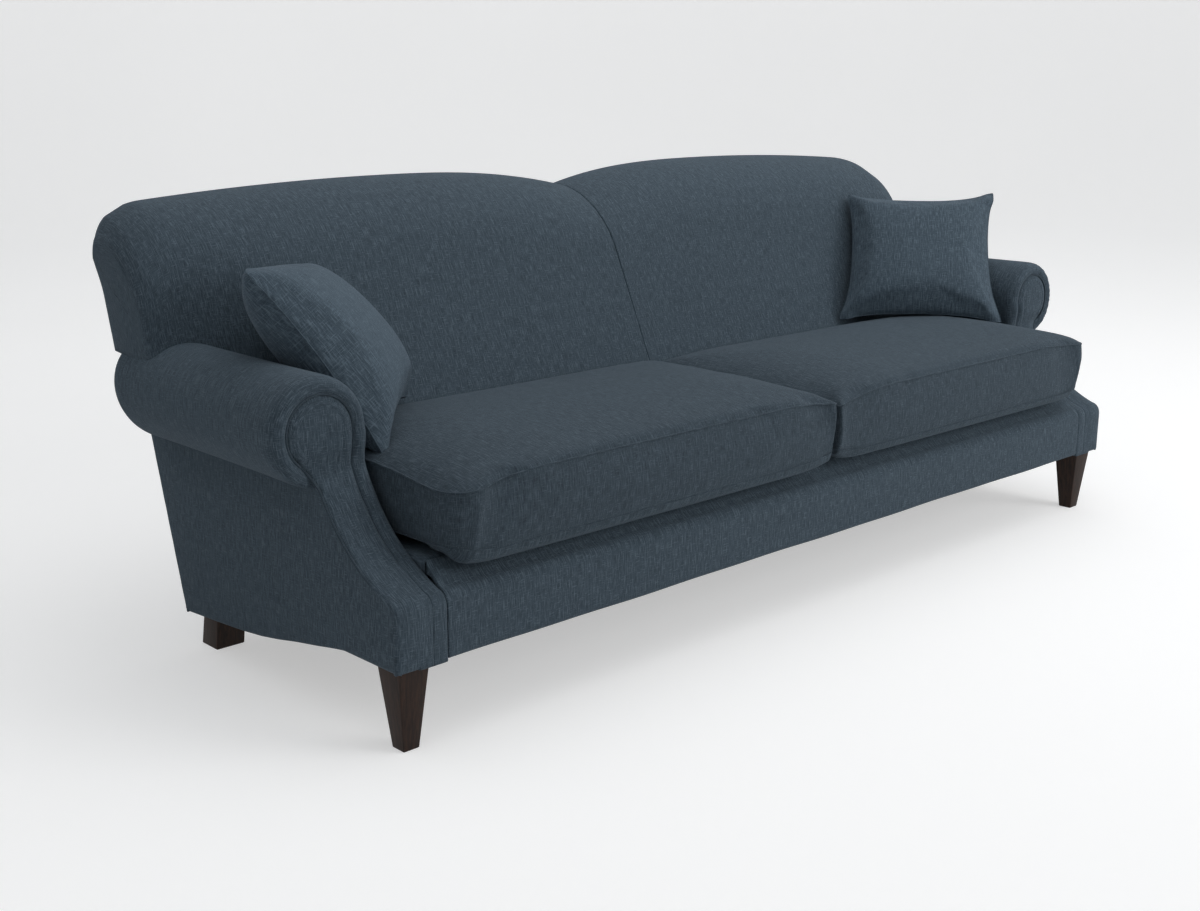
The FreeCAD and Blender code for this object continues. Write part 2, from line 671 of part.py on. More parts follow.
def outline_wire(stations, inset, bottom, depth_in):
    """The hump outline over its stations, closed along a straight lower edge in the raked plane."""
    points = []
    for x in stations:
        z = top_height(x, inset)
        points.append(Vector(x, rear_y(z, depth_in), z))
    curve = Part.BSplineCurve()
    curve.interpolate(points)
    first = points[0]
    last = points[-1]
    low_last = Vector(last.x, rear_y(bottom, depth_in), bottom)
    low_first = Vector(first.x, rear_y(bottom, depth_in), bottom)
    edges = [curve.toShape(), Part.makeLine(last, low_last), Part.makeLine(low_last, low_first),
             Part.makeLine(low_first, first)]
    return Part.Wire(edges)


def raked_push(thickness):
    """A vector square to the raked plane, forward by a thickness."""
    return Vector(0, -thickness * math.cos(rake), thickness * math.sin(rake))


def hump_stations(side, end, count):
    """Places across one hump, from the notch to an end."""
    return [side * end * i / (count - 1) for i in range(count)]


def top_rail_end():
    return size("back_half_width") - size("top_rail_short")


def top_rail_shape():
    """The shaped top rail under the padding, notched at the middle."""
    end = top_rail_end()
    rail = None
    for side in (-1, 1):
        stations = hump_stations(side, end, 9)
        wire = outline_wire(stations, size("top_rail_cover"), post_top(), size("back_skin"))
        half = Part.Face(wire).extrude(raked_push(size("back_frame")))
        rail = half if rail is None else rail.fuse(half)
    return solid_of(rail)


def back_frame():
    """Posts, shaped top rail, lower rail and webbing of the raked back."""
    n0 = size("back_skin")
    n1 = size("back_skin") + size("back_frame")
    for side in (-1, 1):
        part_feature("back_post_" + side_name(side), mirrored(post_shape(), side))
    part_feature("back_top_rail", top_rail_shape())
    low = size("lower_rail_bottom")
    high = low + size("lower_rail_height")
    part_feature("back_lower_rail", raked_block(-liner_x, liner_x, low, high, n0, n1))
    half = size("post_width") / 2
    part_feature("back_centre_post", raked_block(-half, half, high, post_top(), n0, n1))
    part_feature("back_webbing", webbing_shape())


def webbing_shape():
    """Vertical straps on the front of the back frame."""
    n0 = size("back_skin") + size("back_frame")
    n1 = n0 + size("webbing_thickness")
    count = int(size("webbing_count"))
    pitch = 2 * liner_x / count
    half = size("webbing_width") / 2
    low = size("lower_rail_bottom") + size("webbing_foot")
    straps = []
    for i in range(count):
        x = -liner_x + (i + 0.5) * pitch
        straps.append(raked_block(x - half, x + half, low, post_top() + size("webbing_lap"), n0, n1))
    return Part.makeCompound(straps)


def screw_places():
    """Head, direction and side of each corner block screw."""
    z = size("rail_bottom") + size("frame_lift") + size("block_height") / 2
    places = []
    for side in (-1, 1):
        for y, toward in ((front_rail_y + size("rail_thickness"), -1), (rear_rail_y, 1)):
            for offset in (0.35, 0.7):
                x = side * (liner_x - offset * size("block_size"))
                depth = size("block_size") * (1 - offset) - size("screw_sink")
                places.append((Vector(x, y - toward * depth, z), Vector(0, toward, 0), depth + size("screw_bite")))
    return places


def screws_shape():
    """Screws from the corner blocks into the rails."""
    radius = size("screw_diameter") / 2
    return Part.makeCompound([Part.makeCylinder(radius, length, head, way) for head, way, length in screw_places()])


def seat_frame():
    """Front and rear seat rails, stretchers and glued corner blocks."""
    screws = part_feature("corner_block_screws", screws_shape())
    rails = (
        ("front_rail", LINER_X, FRONT_RAIL_Y),
        ("seat_rear_rail", LINER_X, REAR_RAIL_Y),
    )
    for label, half, y in rails:
        blank = doc.addObject("Part::Box", label + "_blank")
        blank.setExpression("Length", "2 * " + half)
        blank.setExpression("Width", "sizes.rail_thickness")
        blank.setExpression("Height", RAIL_HEIGHT)
        blank.setExpression("Placement.Base.x", "-" + half)
        blank.setExpression("Placement.Base.y", y)
        blank.setExpression("Placement.Base.z", "sizes.rail_bottom")
        rail = doc.addObject("Part::Cut", label)
        rail.Base = blank
        rail.Tool = screws
        keep(rail, label)
    for side in (-1, 1):
        bound_box(
            "seat_stretcher_" + side_name(side),
            ("sizes.stretcher_width", REAR_RAIL_Y + " - (" + FRONT_RAIL_Y + ") - sizes.rail_thickness",
             "sizes.stretcher_height"),
            ("%d * sizes.stretcher_x - sizes.stretcher_width / 2" % side, FRONT_RAIL_Y + " + sizes.rail_thickness",
             "sizes.rail_bottom + sizes.frame_lift"),
        )
    part_feature("corner_blocks", corner_blocks_shape())


def corner_blocks_shape():
    """Four three-cornered blocks glued into the seat frame."""
    z = size("rail_bottom") + size("frame_lift")
    reach = size("block_size")
    blocks = []
    for side in (-1, 1):
        for y, toward in ((front_rail_y + size("rail_thickness"), 1), (rear_rail_y, -1)):
            x = side * liner_x
            corners = [(x, y, z), (x - side * reach, y, z), (x, y + toward * reach, z)]
            face = Part.Face(polygon(corners))
            blocks.append(face.extrude(Vector(0, 0, size("block_height"))).cut(screws_shape()))
    return Part.makeCompound([b.Solids[0] for b in blocks])


def leg_bolts():
    """Hanger bolts and T-nuts of the front legs."""
    bolts = []
    nuts = []
    for side in (-1, 1):
        bolts += [bolt_shape(side), rear_bolt_shape(side)]
        nuts.append(nut_shape(side))
    part_feature("leg_hanger_bolts", Part.makeCompound(bolts))
    part_feature("leg_t_nuts", Part.makeCompound(nuts))


def rear_bolt_shape(side):
    """The hanger bolt from a back leg into the foot of the back post."""
    length = size("bolt_in_leg") + size("bolt_in_frame")
    foot = Vector(side * (post_x + size("post_width") / 2), leg_y_rear(), size("rear_leg_height") - size("bolt_in_leg"))
    return Part.makeCylinder(size("bolt_diameter") / 2, length, foot)


def bolt_shape(side):
    """The hanger bolt from a front leg into the front post."""
    length = size("bolt_in_leg") + size("bolt_in_frame")
    foot = Vector(side * size("front_leg_x"), leg_y_front(), size("rail_bottom") - size("bolt_in_leg"))
    return Part.makeCylinder(size("bolt_diameter") / 2, length, foot)


def nut_blank(side):
    foot = Vector(side * size("front_leg_x"), leg_y_front(), size("rail_bottom"))
    flange = Part.makeCylinder(size("nut_flange") / 2, size("nut_flange_thickness"), foot)
    return flange.fuse(Part.makeCylinder(size("nut_barrel") / 2, size("nut_length"), foot))


def nut_shape(side):
    return solid_of(nut_blank(side).cut(bolt_shape(side)))


# Springs and upholstery of the seat.

def spring_path(x, z):
    """A sinuous spring: straight ends and alternate half-round bends joined by straight bars."""
    loops = int(size("spring_loops"))
    y0 = front_rail_y + size("spring_end")
    y1 = rear_rail_y + size("rail_thickness") - size("spring_end")
    pitch = (y1 - y0) / loops
    half = size("spring_width") / 2 - pitch / 2
    edges = [line((x - half, y0, z), (x + half, y0, z))]
    side = 1
    y = y0
    for i in range(loops):
        near = (x + side * half, y, z)
        tip = (x + side * (half + pitch / 2), y + pitch / 2, z)
        far = (x + side * half, y + pitch, z)
        edges.append(arc(near, tip, far))
        y += pitch
        end = (x - side * half, y, z)
        edges.append(line(far, end))
        side = -side
    return Part.Wire(edges), (x - half, y0, z), y


def spring_places():
    """The middle of each spring across the seat."""
    count = int(size("spring_count"))
    reach = seat_side_x - size("spring_margin")
    return [-reach + (i + 0.5) * 2 * reach / count for i in range(count)]


def springs_shape():
    """The row of sinuous springs across the seat."""
    z = size("rail_top") + size("spring_wire") / 2 + size("spring_lift")
    path, start, end_y = spring_path(0, z)
    section = Part.Wire(Part.makeCircle(size("spring_wire") / 2, Vector(*start), Vector(1, 0, 0)))
    one = path.makePipeShell([section], True, False).Solids[0]
    row = []
    for x in spring_places():
        copy = one.copy()
        copy.translate(Vector(x, 0, 0))
        row.append(copy)
    return Part.makeCompound(row), end_y


def clips_shape(row, end_y):
    """The clips that hold each spring's end bars to the rails."""
    half = size("clip_width") / 2
    reach = size("clip_depth") / 2
    top = size("rail_top")
    clips = []
    for x in spring_places():
        for y in (front_rail_y + size("spring_end"), end_y):
            clips.append(block(x - half, x + half, y - reach, y + reach, top, top + size("clip_height")))
    return Part.makeCompound(clips).cut(row)


def springs():
    row, end_y = springs_shape()
    part_feature("seat_springs", row)
    part_feature("spring_clips", clips_shape(row, end_y))


def rail_cover_shape():
    """The padded cloth over the front rail, rolled back under the cushions."""
    x = seat_side_x - size("soft_gap")
    y0 = arm_front_y
    y1 = y0 + size("cover_skin")
    y2 = y1 + size("cover_return")
    low = size("rail_bottom")
    top = size("deck_top")
    inner = size("rail_top") + size("cover_lift")
    start, middle, end = corner_arc()
    edges = [
        line((-x, y0, low), (-x,) + start),
        arc((-x,) + start, (-x,) + middle, (-x,) + end),
        line((-x,) + end, (-x, y2, top)),
        line((-x, y2, top), (-x, y2, inner)),
        line((-x, y2, inner), (-x, y1, inner)),
        line((-x, y1, inner), (-x, y1, low)),
        line((-x, y1, low), (-x, y0, low)),
    ]
    return Part.Face(Part.Wire(edges)).extrude(Vector(2 * x, 0, 0))


def seat_upholstery():
    """Front rail cover, deck pad and the cloth under the frame."""
    x = seat_side_x - size("soft_gap")
    part_feature("front_rail_cover", rail_cover_shape())
    deck_y = front_rail_y + size("cover_return")
    back = rear_y(size("deck_bottom"), size("back_skin") + size("back_frame"))
    part_feature("seat_deck", block(-x, x, deck_y, back, size("deck_bottom"), size("deck_top")))
    leg_side = size("front_leg_x") - size("front_leg_top") / 2
    cloth = block(-leg_side, leg_side, front_rail_y, rear_rail_y + size("rail_thickness"),
                  size("rail_bottom") - size("dust_cloth"), size("rail_bottom"))
    part_feature("dust_cloth_panel", cloth)


# The padded back.

def blend(x):
    """0 over the middle of the face, 1 at the back's ends."""
    t = (abs(x) - size("end_turn_start")) / (size("back_half_width") - size("end_turn_start"))
    t = max(0.0, min(1.0, t))
    return t * t * (3 - 2 * t)


def round_back(x, radius):
    """How far an upright edge of this radius has turned in at a place across the back."""
    over = abs(x) - (size("back_half_width") - radius)
    if over <= 0:
        return 0.0
    return radius - math.sqrt(max(0.0, radius * radius - over * over))


def back_face_y(z, w=0.0):
    """The straight face of the back at a height, from its middle (w = 0) to its ends (w = 1)."""
    front = (1 - w) * size("face_front") + w * size("end_front")
    lean = math.radians((1 - w) * size("face_lean") + w * size("end_lean"))
    return front + (z - size("face_height")) * math.tan(lean)


def back_section(x, low):
    """The back's outline at a place across it: a straight face that runs into a round top, and a raked rear."""
    top = top_height(x)
    w = blend(x)
    lean = math.radians((1 - w) * size("face_lean") + w * size("end_lean"))
    inset = round_back(x, size("end_front_round"))
    low_y = back_face_y(low, w) + inset
    rear_z = top - size("rear_round_height")
    rear_inset = round_back(x, size("end_rear_round"))
    rear_high = rear_y(rear_z) - rear_inset
    rear_low = rear_y(low) - rear_inset
    crest = rear_high - size("rear_round_depth")
    # The round top starts where a circle touches the face and is level at the crest.
    chord = math.tan((lean + math.pi / 2) / 2)
    slope = math.tan(lean)
    high = (low_y - slope * low + chord * top - crest) / (chord - slope)
    high_y = low_y + (high - low) * slope
    radius = (top - high) / (1 - math.sin(lean))
    half_way = (lean + math.pi / 2) / 2
    shoulder_y = high_y + radius * (math.cos(lean) - math.cos(half_way))
    shoulder_z = high + radius * (math.sin(half_way) - math.sin(lean))
    eighth = math.sin(math.pi / 4)
    heel_y = crest + eighth * size("rear_round_depth")
    heel_z = top - (1 - eighth) * size("rear_round_height")
    return Part.Wire([
        line((x, low_y, low), (x, high_y, high)),
        arc((x, high_y, high), (x, shoulder_y, shoulder_z), (x, crest, top)),
        arc((x, crest, top), (x, heel_y, heel_z), (x, rear_high, rear_z)),
        line((x, rear_high, rear_z), (x, rear_low, low)),
        line((x, rear_low, low), (x, low_y, low)),
    ])


def back_frame_room(side):
    """The space behind a hump's padding for the frame, webbing and rear panel."""
    low = size("deck_bottom") - 20
    skin = size("back_skin")
    depth_in = size("back_frame") + size("webbing_thickness") + size("soft_gap")
    stations = hump_stations(side, top_rail_end() + size("soft_gap"), 9)
    frame_wire = outline_wire(stations, size("top_rail_cover") - 1, low, skin)
    room = Part.Face(frame_wire).extrude(raked_push(depth_in))
    panel_face = Part.Face(outline_wire(hump_stations(side, arm_outer_x, 9), size("rear_round_height"), low, 0.0))
    return room.fuse(panel_face.extrude(raked_push(skin))).fuse(panel_face.extrude(raked_push(-200)))


def back_pad_shape(side):
    """One padded hump of the back, with its rounded top and its end over the arm."""
    half = size("back_half_width")
    low = size("deck_top") + size("soft_gap")
    start = size("end_turn_start")
    places = [size("soft_gap") / 2, 45, 130, 280, 520, 740, 860]
    places += [start + (half - start) * share for share in (0.0, 0.16, 0.32, 0.48, 0.6, 0.72, 0.82, 0.9, 0.95, 0.98, 1.0)]
    pad = loft([back_section(side * x, low) for x in places])
    arm = roll_cylinder(size("roll_radius") + size("soft_gap"), -600, 600)
    beside = block(roll_x - size("roll_radius") - size("soft_gap"), 1500, -600, 600, 0, size("wing_bottom"))
    pad = pad.cut(mirrored(arm, side)).cut(mirrored(beside, side)).cut(back_frame_room(side))
    solids = sorted(pad.Solids, key=lambda s: s.Volume)
    return solids[-1]


def outside_back_shape():
    """The flat rear panel from the hem to under the rolled top."""
    end = arm_outer_x
    low = size("hem_rear")
    panel = None
    for side in (-1, 1):
        wire = outline_wire(hump_stations(side, end, 9), size("rear_round_height"), low, 0.0)
        half = Part.Face(wire).extrude(raked_push(size("back_skin")))
        panel = half if panel is None else panel.fuse(half)
    return solid_of(panel)


def back_upholstery():
    for side in (-1, 1):
        part_feature("back_pad_" + side_name(side), back_pad_shape(side))
    part_feature("outside_back", outside_back_shape())


# Loose cushions and pillows.

def cushion_section(x, x0, x1, rear_low, rear_high):
    """The outline of a seat cushion from front to rear at a place across it."""
    low = size("deck_top") + size("soft_gap")
    welt = size("cushion_welt_height")
    middle = (x0 + x1) / 2
    half = (x1 - x0) / 2
    over = (abs(x - middle) / half) ** 2
    crown = size("cushion_crown") * math.sqrt(max(0.0, 1 - over)) + 2
    near_end = half - abs(x - middle)
    front = front_y + corner_turn(near_end, size("cushion_corner")) + size("cushion_belly")
    back_turn = corner_turn(near_end, size("cushion_rear_corner"))
    belly = size("cushion_belly") * math.sqrt(max(0.0, 1 - over))
    y_low = rear_low - back_turn
    y_high = rear_high - back_turn
    centre = (low + welt) / 2
    return Part.Wire([
        line((x, y_low, low), (x, front, low)),
        arc((x, front, low), (x, front - belly - 0.2, centre), (x, front, welt)),
        arc((x, front, welt), (x, (front + y_high) / 2, welt + crown), (x, y_high, welt)),
        line((x, y_high, welt), (x, y_low, low)),
    ])


def corner_turn(distance, radius):
    """How far a plan corner of this radius has turned in at a distance from its side."""
    if distance >= radius:
        return 0.0
    away = radius - distance
    return radius - math.sqrt(max(0.0, radius * radius - away * away))


def cushion_rear(z):
    """The rear boxing follows the face of the back at a height."""
    return back_face_y(z) - size("back_clear")


def cushion_shape(side):
    """A seat cushion with a crown, a swelling front and rounded corners."""
    inner = size("soft_gap") / 2 + 0.3
    outer = size("cushion_half_width")
    rear_low = cushion_rear(size("deck_top"))
    rear_high = cushion_rear(size("cushion_welt_height"))
    width = outer - inner
    half_shares = (0.0, 0.002, 0.008, 0.02, 0.036, 0.06, 0.1, 0.16, 0.24, 0.34, 0.44)
    shares = half_shares + tuple(1 - s for s in reversed(half_shares))
    wires = [cushion_section(inner + width * s, inner, outer, rear_low, rear_high) for s in shares]
    return mirrored(loft(wires, True), side)


def zip_shape(side):
    """The closed zip tape across a cushion's rear boxing."""
    middle = size("cushion_half_width") / 2
    half = size("zip_length") / 2
    z = (size("deck_top") + size("cushion_welt_height")) / 2
    low = z - size("zip_width") / 2
    high = z + size("zip_width") / 2
    face = Part.Face(polygon([
        (middle - half, cushion_rear(low), low),
        (middle - half, cushion_rear(low) + size("zip_thickness"), low),
        (middle - half, cushion_rear(high) + size("zip_thickness"), high),
        (middle - half, cushion_rear(high), high),
    ]))
    return mirrored(face.extrude(Vector(2 * half, 0, 0)), side)


def pillow_section(u):
    """The lens outline of a pillow at a place along its lower edge."""
    half = size("pillow_size") / 2
    edge = size("pillow_edge") / 2
    fill = size("pillow_fill") / 2 * (1 - (abs(u) / half) ** 2.2) ** 0.8 + edge + 1
    return Part.Wire([
        arc((u, -edge, -half), (u, -fill, 0), (u, -edge, half)),
        line((u, -edge, half), (u, edge, half)),
        arc((u, edge, half), (u, fill, 0), (u, edge, -half)),
        line((u, edge, -half), (u, -edge, -half)),
    ])


def pillow_shape():
    """A knife-edge pillow with ears and drawn-in sides."""
    half = size("pillow_size") / 2
    shares = (-1, -0.93, -0.75, -0.4, 0, 0.4, 0.75, 0.93, 1)
    pillow = loft([pillow_section(s * half) for s in shares])
    draw = size("pillow_draw")
    radius = (half * half + draw * draw) / (2 * draw)
    for dx, dz in ((1, 0), (-1, 0), (0, 1), (0, -1)):
        reach = half - draw + radius
        hollow = Part.makeCylinder(radius, 400, Vector(dx * reach, -200, dz * reach), Vector(0, 1, 0))
        pillow = pillow.cut(hollow)
    return solid_of(pillow)


def pillow_place(side):
    """A pillow's place, leant back into its corner of the seat."""
    lean = Rotation(Vector(1, 0, 0), -size("pillow_lean"))
    turn = Rotation(Vector(0, 0, 1), -side * size("pillow_turn"))
    return Placement(Vector(side * size("pillow_x"), size("pillow_y"), size("pillow_z")), turn.multiply(lean))


def loose_pieces():
    """Two seat cushions with their zips, and two pillows."""
    for side in (-1, 1):
        name = side_name(side)
        part_feature("seat_cushion_" + name, cushion_shape(side))
        part_feature("cushion_zip_" + name, zip_shape(side))
        part_feature("throw_pillow_" + name, pillow_shape(), pillow_place(side))


legs()
arms()
seat_frame()
leg_bolts()
back_frame()
springs()
seat_upholstery()
back_upholstery()
loose_pieces()

doc.recompute()
os.makedirs("parts", exist_ok=True)
for piece in pieces:
    shape = piece.Shape
    state = [s for s in piece.State if s in ("Invalid", "Error")]
    if state or shape.isNull() or not shape.isValid():
        raise RuntimeError("%s failed: %s valid %s" % (piece.Label, piece.State, shape.isValid()))
for piece in pieces:
    box = piece.Shape.optimalBoundingBox(False)
    print(piece.Label, len(piece.Shape.Solids), round(piece.Shape.Volume / 1000), box)
    piece.Shape.exportStep("parts/%s.step" % piece.Label)
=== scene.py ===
"""Upholstery, cushions, legs and finishes of the english roll arm sofa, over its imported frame."""

import math

import bmesh
import bpy
import numpy as np
from bpy.props import FloatProperty, FloatVectorProperty, PointerProperty
from mathutils import Matrix, Vector


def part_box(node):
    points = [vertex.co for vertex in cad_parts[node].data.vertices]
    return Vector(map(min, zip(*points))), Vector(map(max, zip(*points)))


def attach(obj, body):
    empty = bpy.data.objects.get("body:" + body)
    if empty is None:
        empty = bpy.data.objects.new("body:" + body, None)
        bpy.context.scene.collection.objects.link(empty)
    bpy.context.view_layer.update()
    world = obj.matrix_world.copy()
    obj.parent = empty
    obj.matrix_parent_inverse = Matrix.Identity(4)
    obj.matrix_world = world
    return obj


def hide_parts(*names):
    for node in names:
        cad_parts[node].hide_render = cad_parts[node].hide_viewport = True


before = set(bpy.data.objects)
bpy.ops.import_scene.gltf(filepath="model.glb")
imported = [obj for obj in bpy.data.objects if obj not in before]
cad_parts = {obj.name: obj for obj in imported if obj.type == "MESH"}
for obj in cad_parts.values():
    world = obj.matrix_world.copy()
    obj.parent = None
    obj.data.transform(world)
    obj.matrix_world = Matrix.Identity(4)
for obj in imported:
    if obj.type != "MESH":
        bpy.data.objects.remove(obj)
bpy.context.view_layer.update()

bl_info = {
    "name": "English Roll Arm Sofa",
    "version": (1, 0, 0),
    "blender": (4, 5, 0),
    "location": "3D View > Sidebar > Sofa",
    "description": "Builds the upholstery, cushions, legs and finishes of a roll arm sofa",
    "category": "Add Mesh",
}


def length(name, metres, words, **limits):
    """A size in metres that a user may change."""
    return FloatProperty(name=name, description=words, default=metres, unit="LENGTH", precision=4, **limits)


def colour(name, red, green, blue, words):
    """A colour that a user may change."""
    return FloatVectorProperty(
        name=name, description=words, default=(red, green, blue), subtype="COLOR", size=3, min=0.0, max=1.0
    )


class SofaFabric(bpy.types.PropertyGroup):
    """Colours and threads of the covering."""

    ground: colour("Ground", 0.0435, 0.0625, 0.0810, "Colour of most of the covering's threads")
    light_thread: colour("Light Thread", 0.118, 0.160, 0.196, "Colour of the pale slubs")
    dark_thread: colour("Dark Thread", 0.0245, 0.0360, 0.0480, "Colour of the shaded threads")
    thread_pitch: length("Thread Pitch", 0.0011, "Distance from one warp thread to the next", min=0.0004)
    slub_length: length("Slub Length", 0.024, "Usual length of a pale slub along the warp", min=0.004)
    slub_width: length("Slub Width", 0.0020, "Usual width of a pale slub", min=0.0005)
    sheen: FloatProperty(name="Sheen", description="Soft nap of the covering", default=0.12, min=0.0, max=1.0)


class SofaTimber(bpy.types.PropertyGroup):
    """Colours of the legs and of the frame's timber."""

    leg_dark: colour("Leg Dark", 0.0125, 0.0056, 0.0034, "Stained grain of the legs")
    leg_light: colour("Leg Light", 0.0340, 0.0155, 0.0090, "Lighter grain of the legs")
    pine: colour("Frame Timber", 0.56, 0.38, 0.21, "Timber of the hidden frame")
    ply: colour("Plywood", 0.60, 0.43, 0.26, "Face veneer of the hidden boards")


class SofaArms(bpy.types.PropertyGroup):
    """Sizes of the rolled arms."""

    roll_radius: length("Roll Radius", 0.100, "Radius of the rolled arm")
    roll_x: length("Roll Axis", 1.137, "Roll's axis from the middle of the sofa")
    roll_z: length("Roll Height", 0.540, "Roll's axis above the floor")
    roll_front: length("Roll Front", -0.239, "Front of the roll")
    disc_radius: length("Disc Radius", 0.067, "Radius of the piped disc")
    outer_x: length("Outer Face", 1.149, "Outer face of the arm from the middle")
    inner_x: length("Inner Face", 1.040, "Padded inner side of the arm from the middle")
    band_inner: length("Band Inner Edge", 1.073, "Inner edge of the front facing's band")
    ring_puff: length("Ring Puff", 0.0075, "How far the ring round the disc swells forward")
    piping: length("Piping", 0.0050, "Diameter of the cord round the facing")


class SofaBack(bpy.types.PropertyGroup):
    """Sizes of the tight back."""

    peak: length("Peak", 0.918, "Top of a hump above the floor")
    peak_x: length("Peak Offset", 0.520, "Top of a hump from the middle")
    notch: length("Notch", 0.044, "Depth of the notch between the humps")
    half_width: length("Half Width", 1.210, "End of the back from the middle")
    rake: FloatProperty(name="Rake", description="Lean of the rear", default=math.radians(15.64), subtype="ANGLE")
    wing_bottom: length("Wing Bottom", 0.600, "Lower edge of the back's ends above the floor")
    end_round: length("End Round", 0.026, "Rounded front edge of the back's ends")
    rear_round: length("Rear Round", 0.058, "Rounded rear edge of the back's ends")


class SofaCushions(bpy.types.PropertyGroup):
    """Sizes of the two seat cushions."""

    inner: length("Inner Side", 0.0014, "Inner side of a cushion from the middle")
    outer: length("Outer Side", 1.034, "Outer side of a cushion from the middle")
    front: length("Front", -0.481, "Front seam before it swells")
    seam: length("Upper Seam", 0.474, "Upper seam above the floor at mid front")
    foot: length("Lower Seam", 0.341, "Lower seam above the floor at mid front")
    crown: length("Crown", 0.026, "Rise of the top over its seam")
    corner: length("Corner", 0.058, "Rounded front corner")
    pressure: FloatProperty(name="Pressure", description="Pressure of the filling", default=4.0, min=0.0)
    swell: length("Swell", 0.010, "Most that the filling may move the cover")


class SofaPillows(bpy.types.PropertyGroup):
    """Sizes of the two throw pillows."""

    size: length("Size", 0.428, "Edge of a pillow between its ears")
    fill: length("Fill", 0.128, "Greatest thickness before it swells")
    draw: length("Draw", 0.020, "How far an edge is drawn in between the ears")
    pressure: FloatProperty(name="Pressure", description="Pressure of the filling", default=4.0, min=0.0)
    swell: length("Swell", 0.014, "Most that the filling may move the cover")


class SofaStage(bpy.types.PropertyGroup):
    """Floor, light and camera."""

    key: FloatProperty(name="Key", description="Power of the large overhead lamp", default=58.0, min=0.0)
    fill: FloatProperty(name="Fill", description="Power of the front lamp", default=92.0, min=0.0)
    world: FloatProperty(name="World", description="Strength of the even surrounding light", default=0.58, min=0.0)


SIDES = (("left", -1), ("right", 1))
FRONT_Y = -0.464
MATERIALS = {}


def props():
    """The scene's own groups of sizes and colours."""
    scene = bpy.context.scene
    return {
        "fabric": scene.sofa_fabric,
        "timber": scene.sofa_timber,
        "arms": scene.sofa_arms,
        "back": scene.sofa_back,
        "cushions": scene.sofa_cushions,
        "pillows": scene.sofa_pillows,
        "stage": scene.sofa_stage,
    }


# Shader maths.


class Value:
    """A socket of a material's nodes that adds, multiplies and compares like a number."""

    def __init__(self, shades, socket):
        self.shades = shades
        self.socket = socket

    def maths(self, operation, first, second=None, clamp=False):
        values = {0: first} if second is None else {0: first, 1: second}
        return self.shades.node("ShaderNodeMath", {"operation": operation, "use_clamp": clamp}, values)

    def __add__(self, other):
        return self.maths("ADD", self, other)

    __radd__ = __add__

    def __sub__(self, other):
        return self.maths("SUBTRACT", self, other)

    def __rsub__(self, other):
        return self.maths("SUBTRACT", other, self)

    def __mul__(self, other):
        return self.maths("MULTIPLY", self, other)

    __rmul__ = __mul__

    def __truediv__(self, other):
        return self.maths("DIVIDE", self, other)

    def __pow__(self, other):
        return self.maths("POWER", self, other)

    def __gt__(self, other):
        return self.maths("GREATER_THAN", self, other)

    def sine(self):
        return self.maths("SINE", self)

    def whole(self):
        return self.maths("FLOOR", self)

    def size(self):
        return self.maths("ABSOLUTE", self)

    def between(self, low, high):
        """0 at low, 1 at high and smooth between them."""
        settings = {"interpolation_type": "SMOOTHSTEP", "clamp": True}
        return self.shades.node("ShaderNodeMapRange", settings, {"Value": self, "From Min": low, "From Max": high})


class Shades:
    """The nodes of one material."""

    def __init__(self, name):
        self.material = bpy.data.materials.new(name)
        self.material.use_nodes = True
        self.tree = self.material.node_tree
        self.tree.nodes.clear()
        MATERIALS[name] = self.material

    def node(self, kind, settings=None, values=None, out=0):
        """A node of a type, with its settings, its sockets' values or links, and one of its outputs."""
        node = self.tree.nodes.new(kind)
        for key, setting in (settings or {}).items():
            if key == "stops":
                ramp = node.color_ramp.elements
                while len(ramp) < len(setting):
                    ramp.new(0.5)
                for stop, (place, shade) in zip(ramp, setting):
                    stop.position = place
                    stop.color = tuple(shade) + (1.0,)
            else:
                setattr(node, key, setting)
        for key, value in (values or {}).items():
            socket = node.inputs[key]
            if isinstance(value, Value):
                self.tree.links.new(value.socket, socket)
            elif socket.type == "RGBA":
                socket.default_value = tuple(value) + (1.0,)
            else:
                socket.default_value = value
        self.last = node
        return Value(self, node.outputs[out]) if len(node.outputs) else None

    def mix(self, share, first, second, way="MIX"):
        """Two colours mixed by a share."""
        settings = {"data_type": "RGBA", "blend_type": way, "clamp_factor": True}
        node = self.tree.nodes.new("ShaderNodeMix")
        for key, setting in settings.items():
            setattr(node, key, setting)
        for index, value in ((0, share), (6, first), (7, second)):
            if isinstance(value, Value):
                self.tree.links.new(value.socket, node.inputs[index])
            elif index == 0:
                node.inputs[0].default_value = value
            else:
                node.inputs[index].default_value = tuple(value) + (1.0,)
        return Value(self, node.outputs[2])

    def point(self, x, y, z=0.0):
        return self.node("ShaderNodeCombineXYZ", None, {"X": x, "Y": y, "Z": z})

    def parts(self, vector):
        """The three numbers of a vector."""
        self.node("ShaderNodeSeparateXYZ", None, {0: vector})
        return [Value(self, self.last.outputs[i]) for i in range(3)]

    def noise(self, vector, scale=1.0, detail=2.0, rough=0.5, flat=False):
        settings = {"noise_dimensions": "2D" if flat else "3D"}
        values = {"Vector": vector, "Scale": scale, "Detail": detail, "Roughness": rough}
        return self.node("ShaderNodeTexNoise", settings, values)

    def surface(self, constants, **changing):
        """The shader itself: constants on its own sockets, and what changes over the surface."""
        values = dict(constants)
        names = {"base": "Base Color", "rough": "Roughness", "metal": "Metallic", "normal": "Normal"}
        for key, value in changing.items():
            values[names[key]] = value
        shader = self.node("ShaderNodeBsdfPrincipled", None, values)
        self.node("ShaderNodeOutputMaterial", None, {"Surface": shader})
        return self.material

    def bump(self, height, strength, distance):
        values = {"Height": height, "Strength": strength, "Distance": distance}
        return self.node("ShaderNodeBump", None, values)


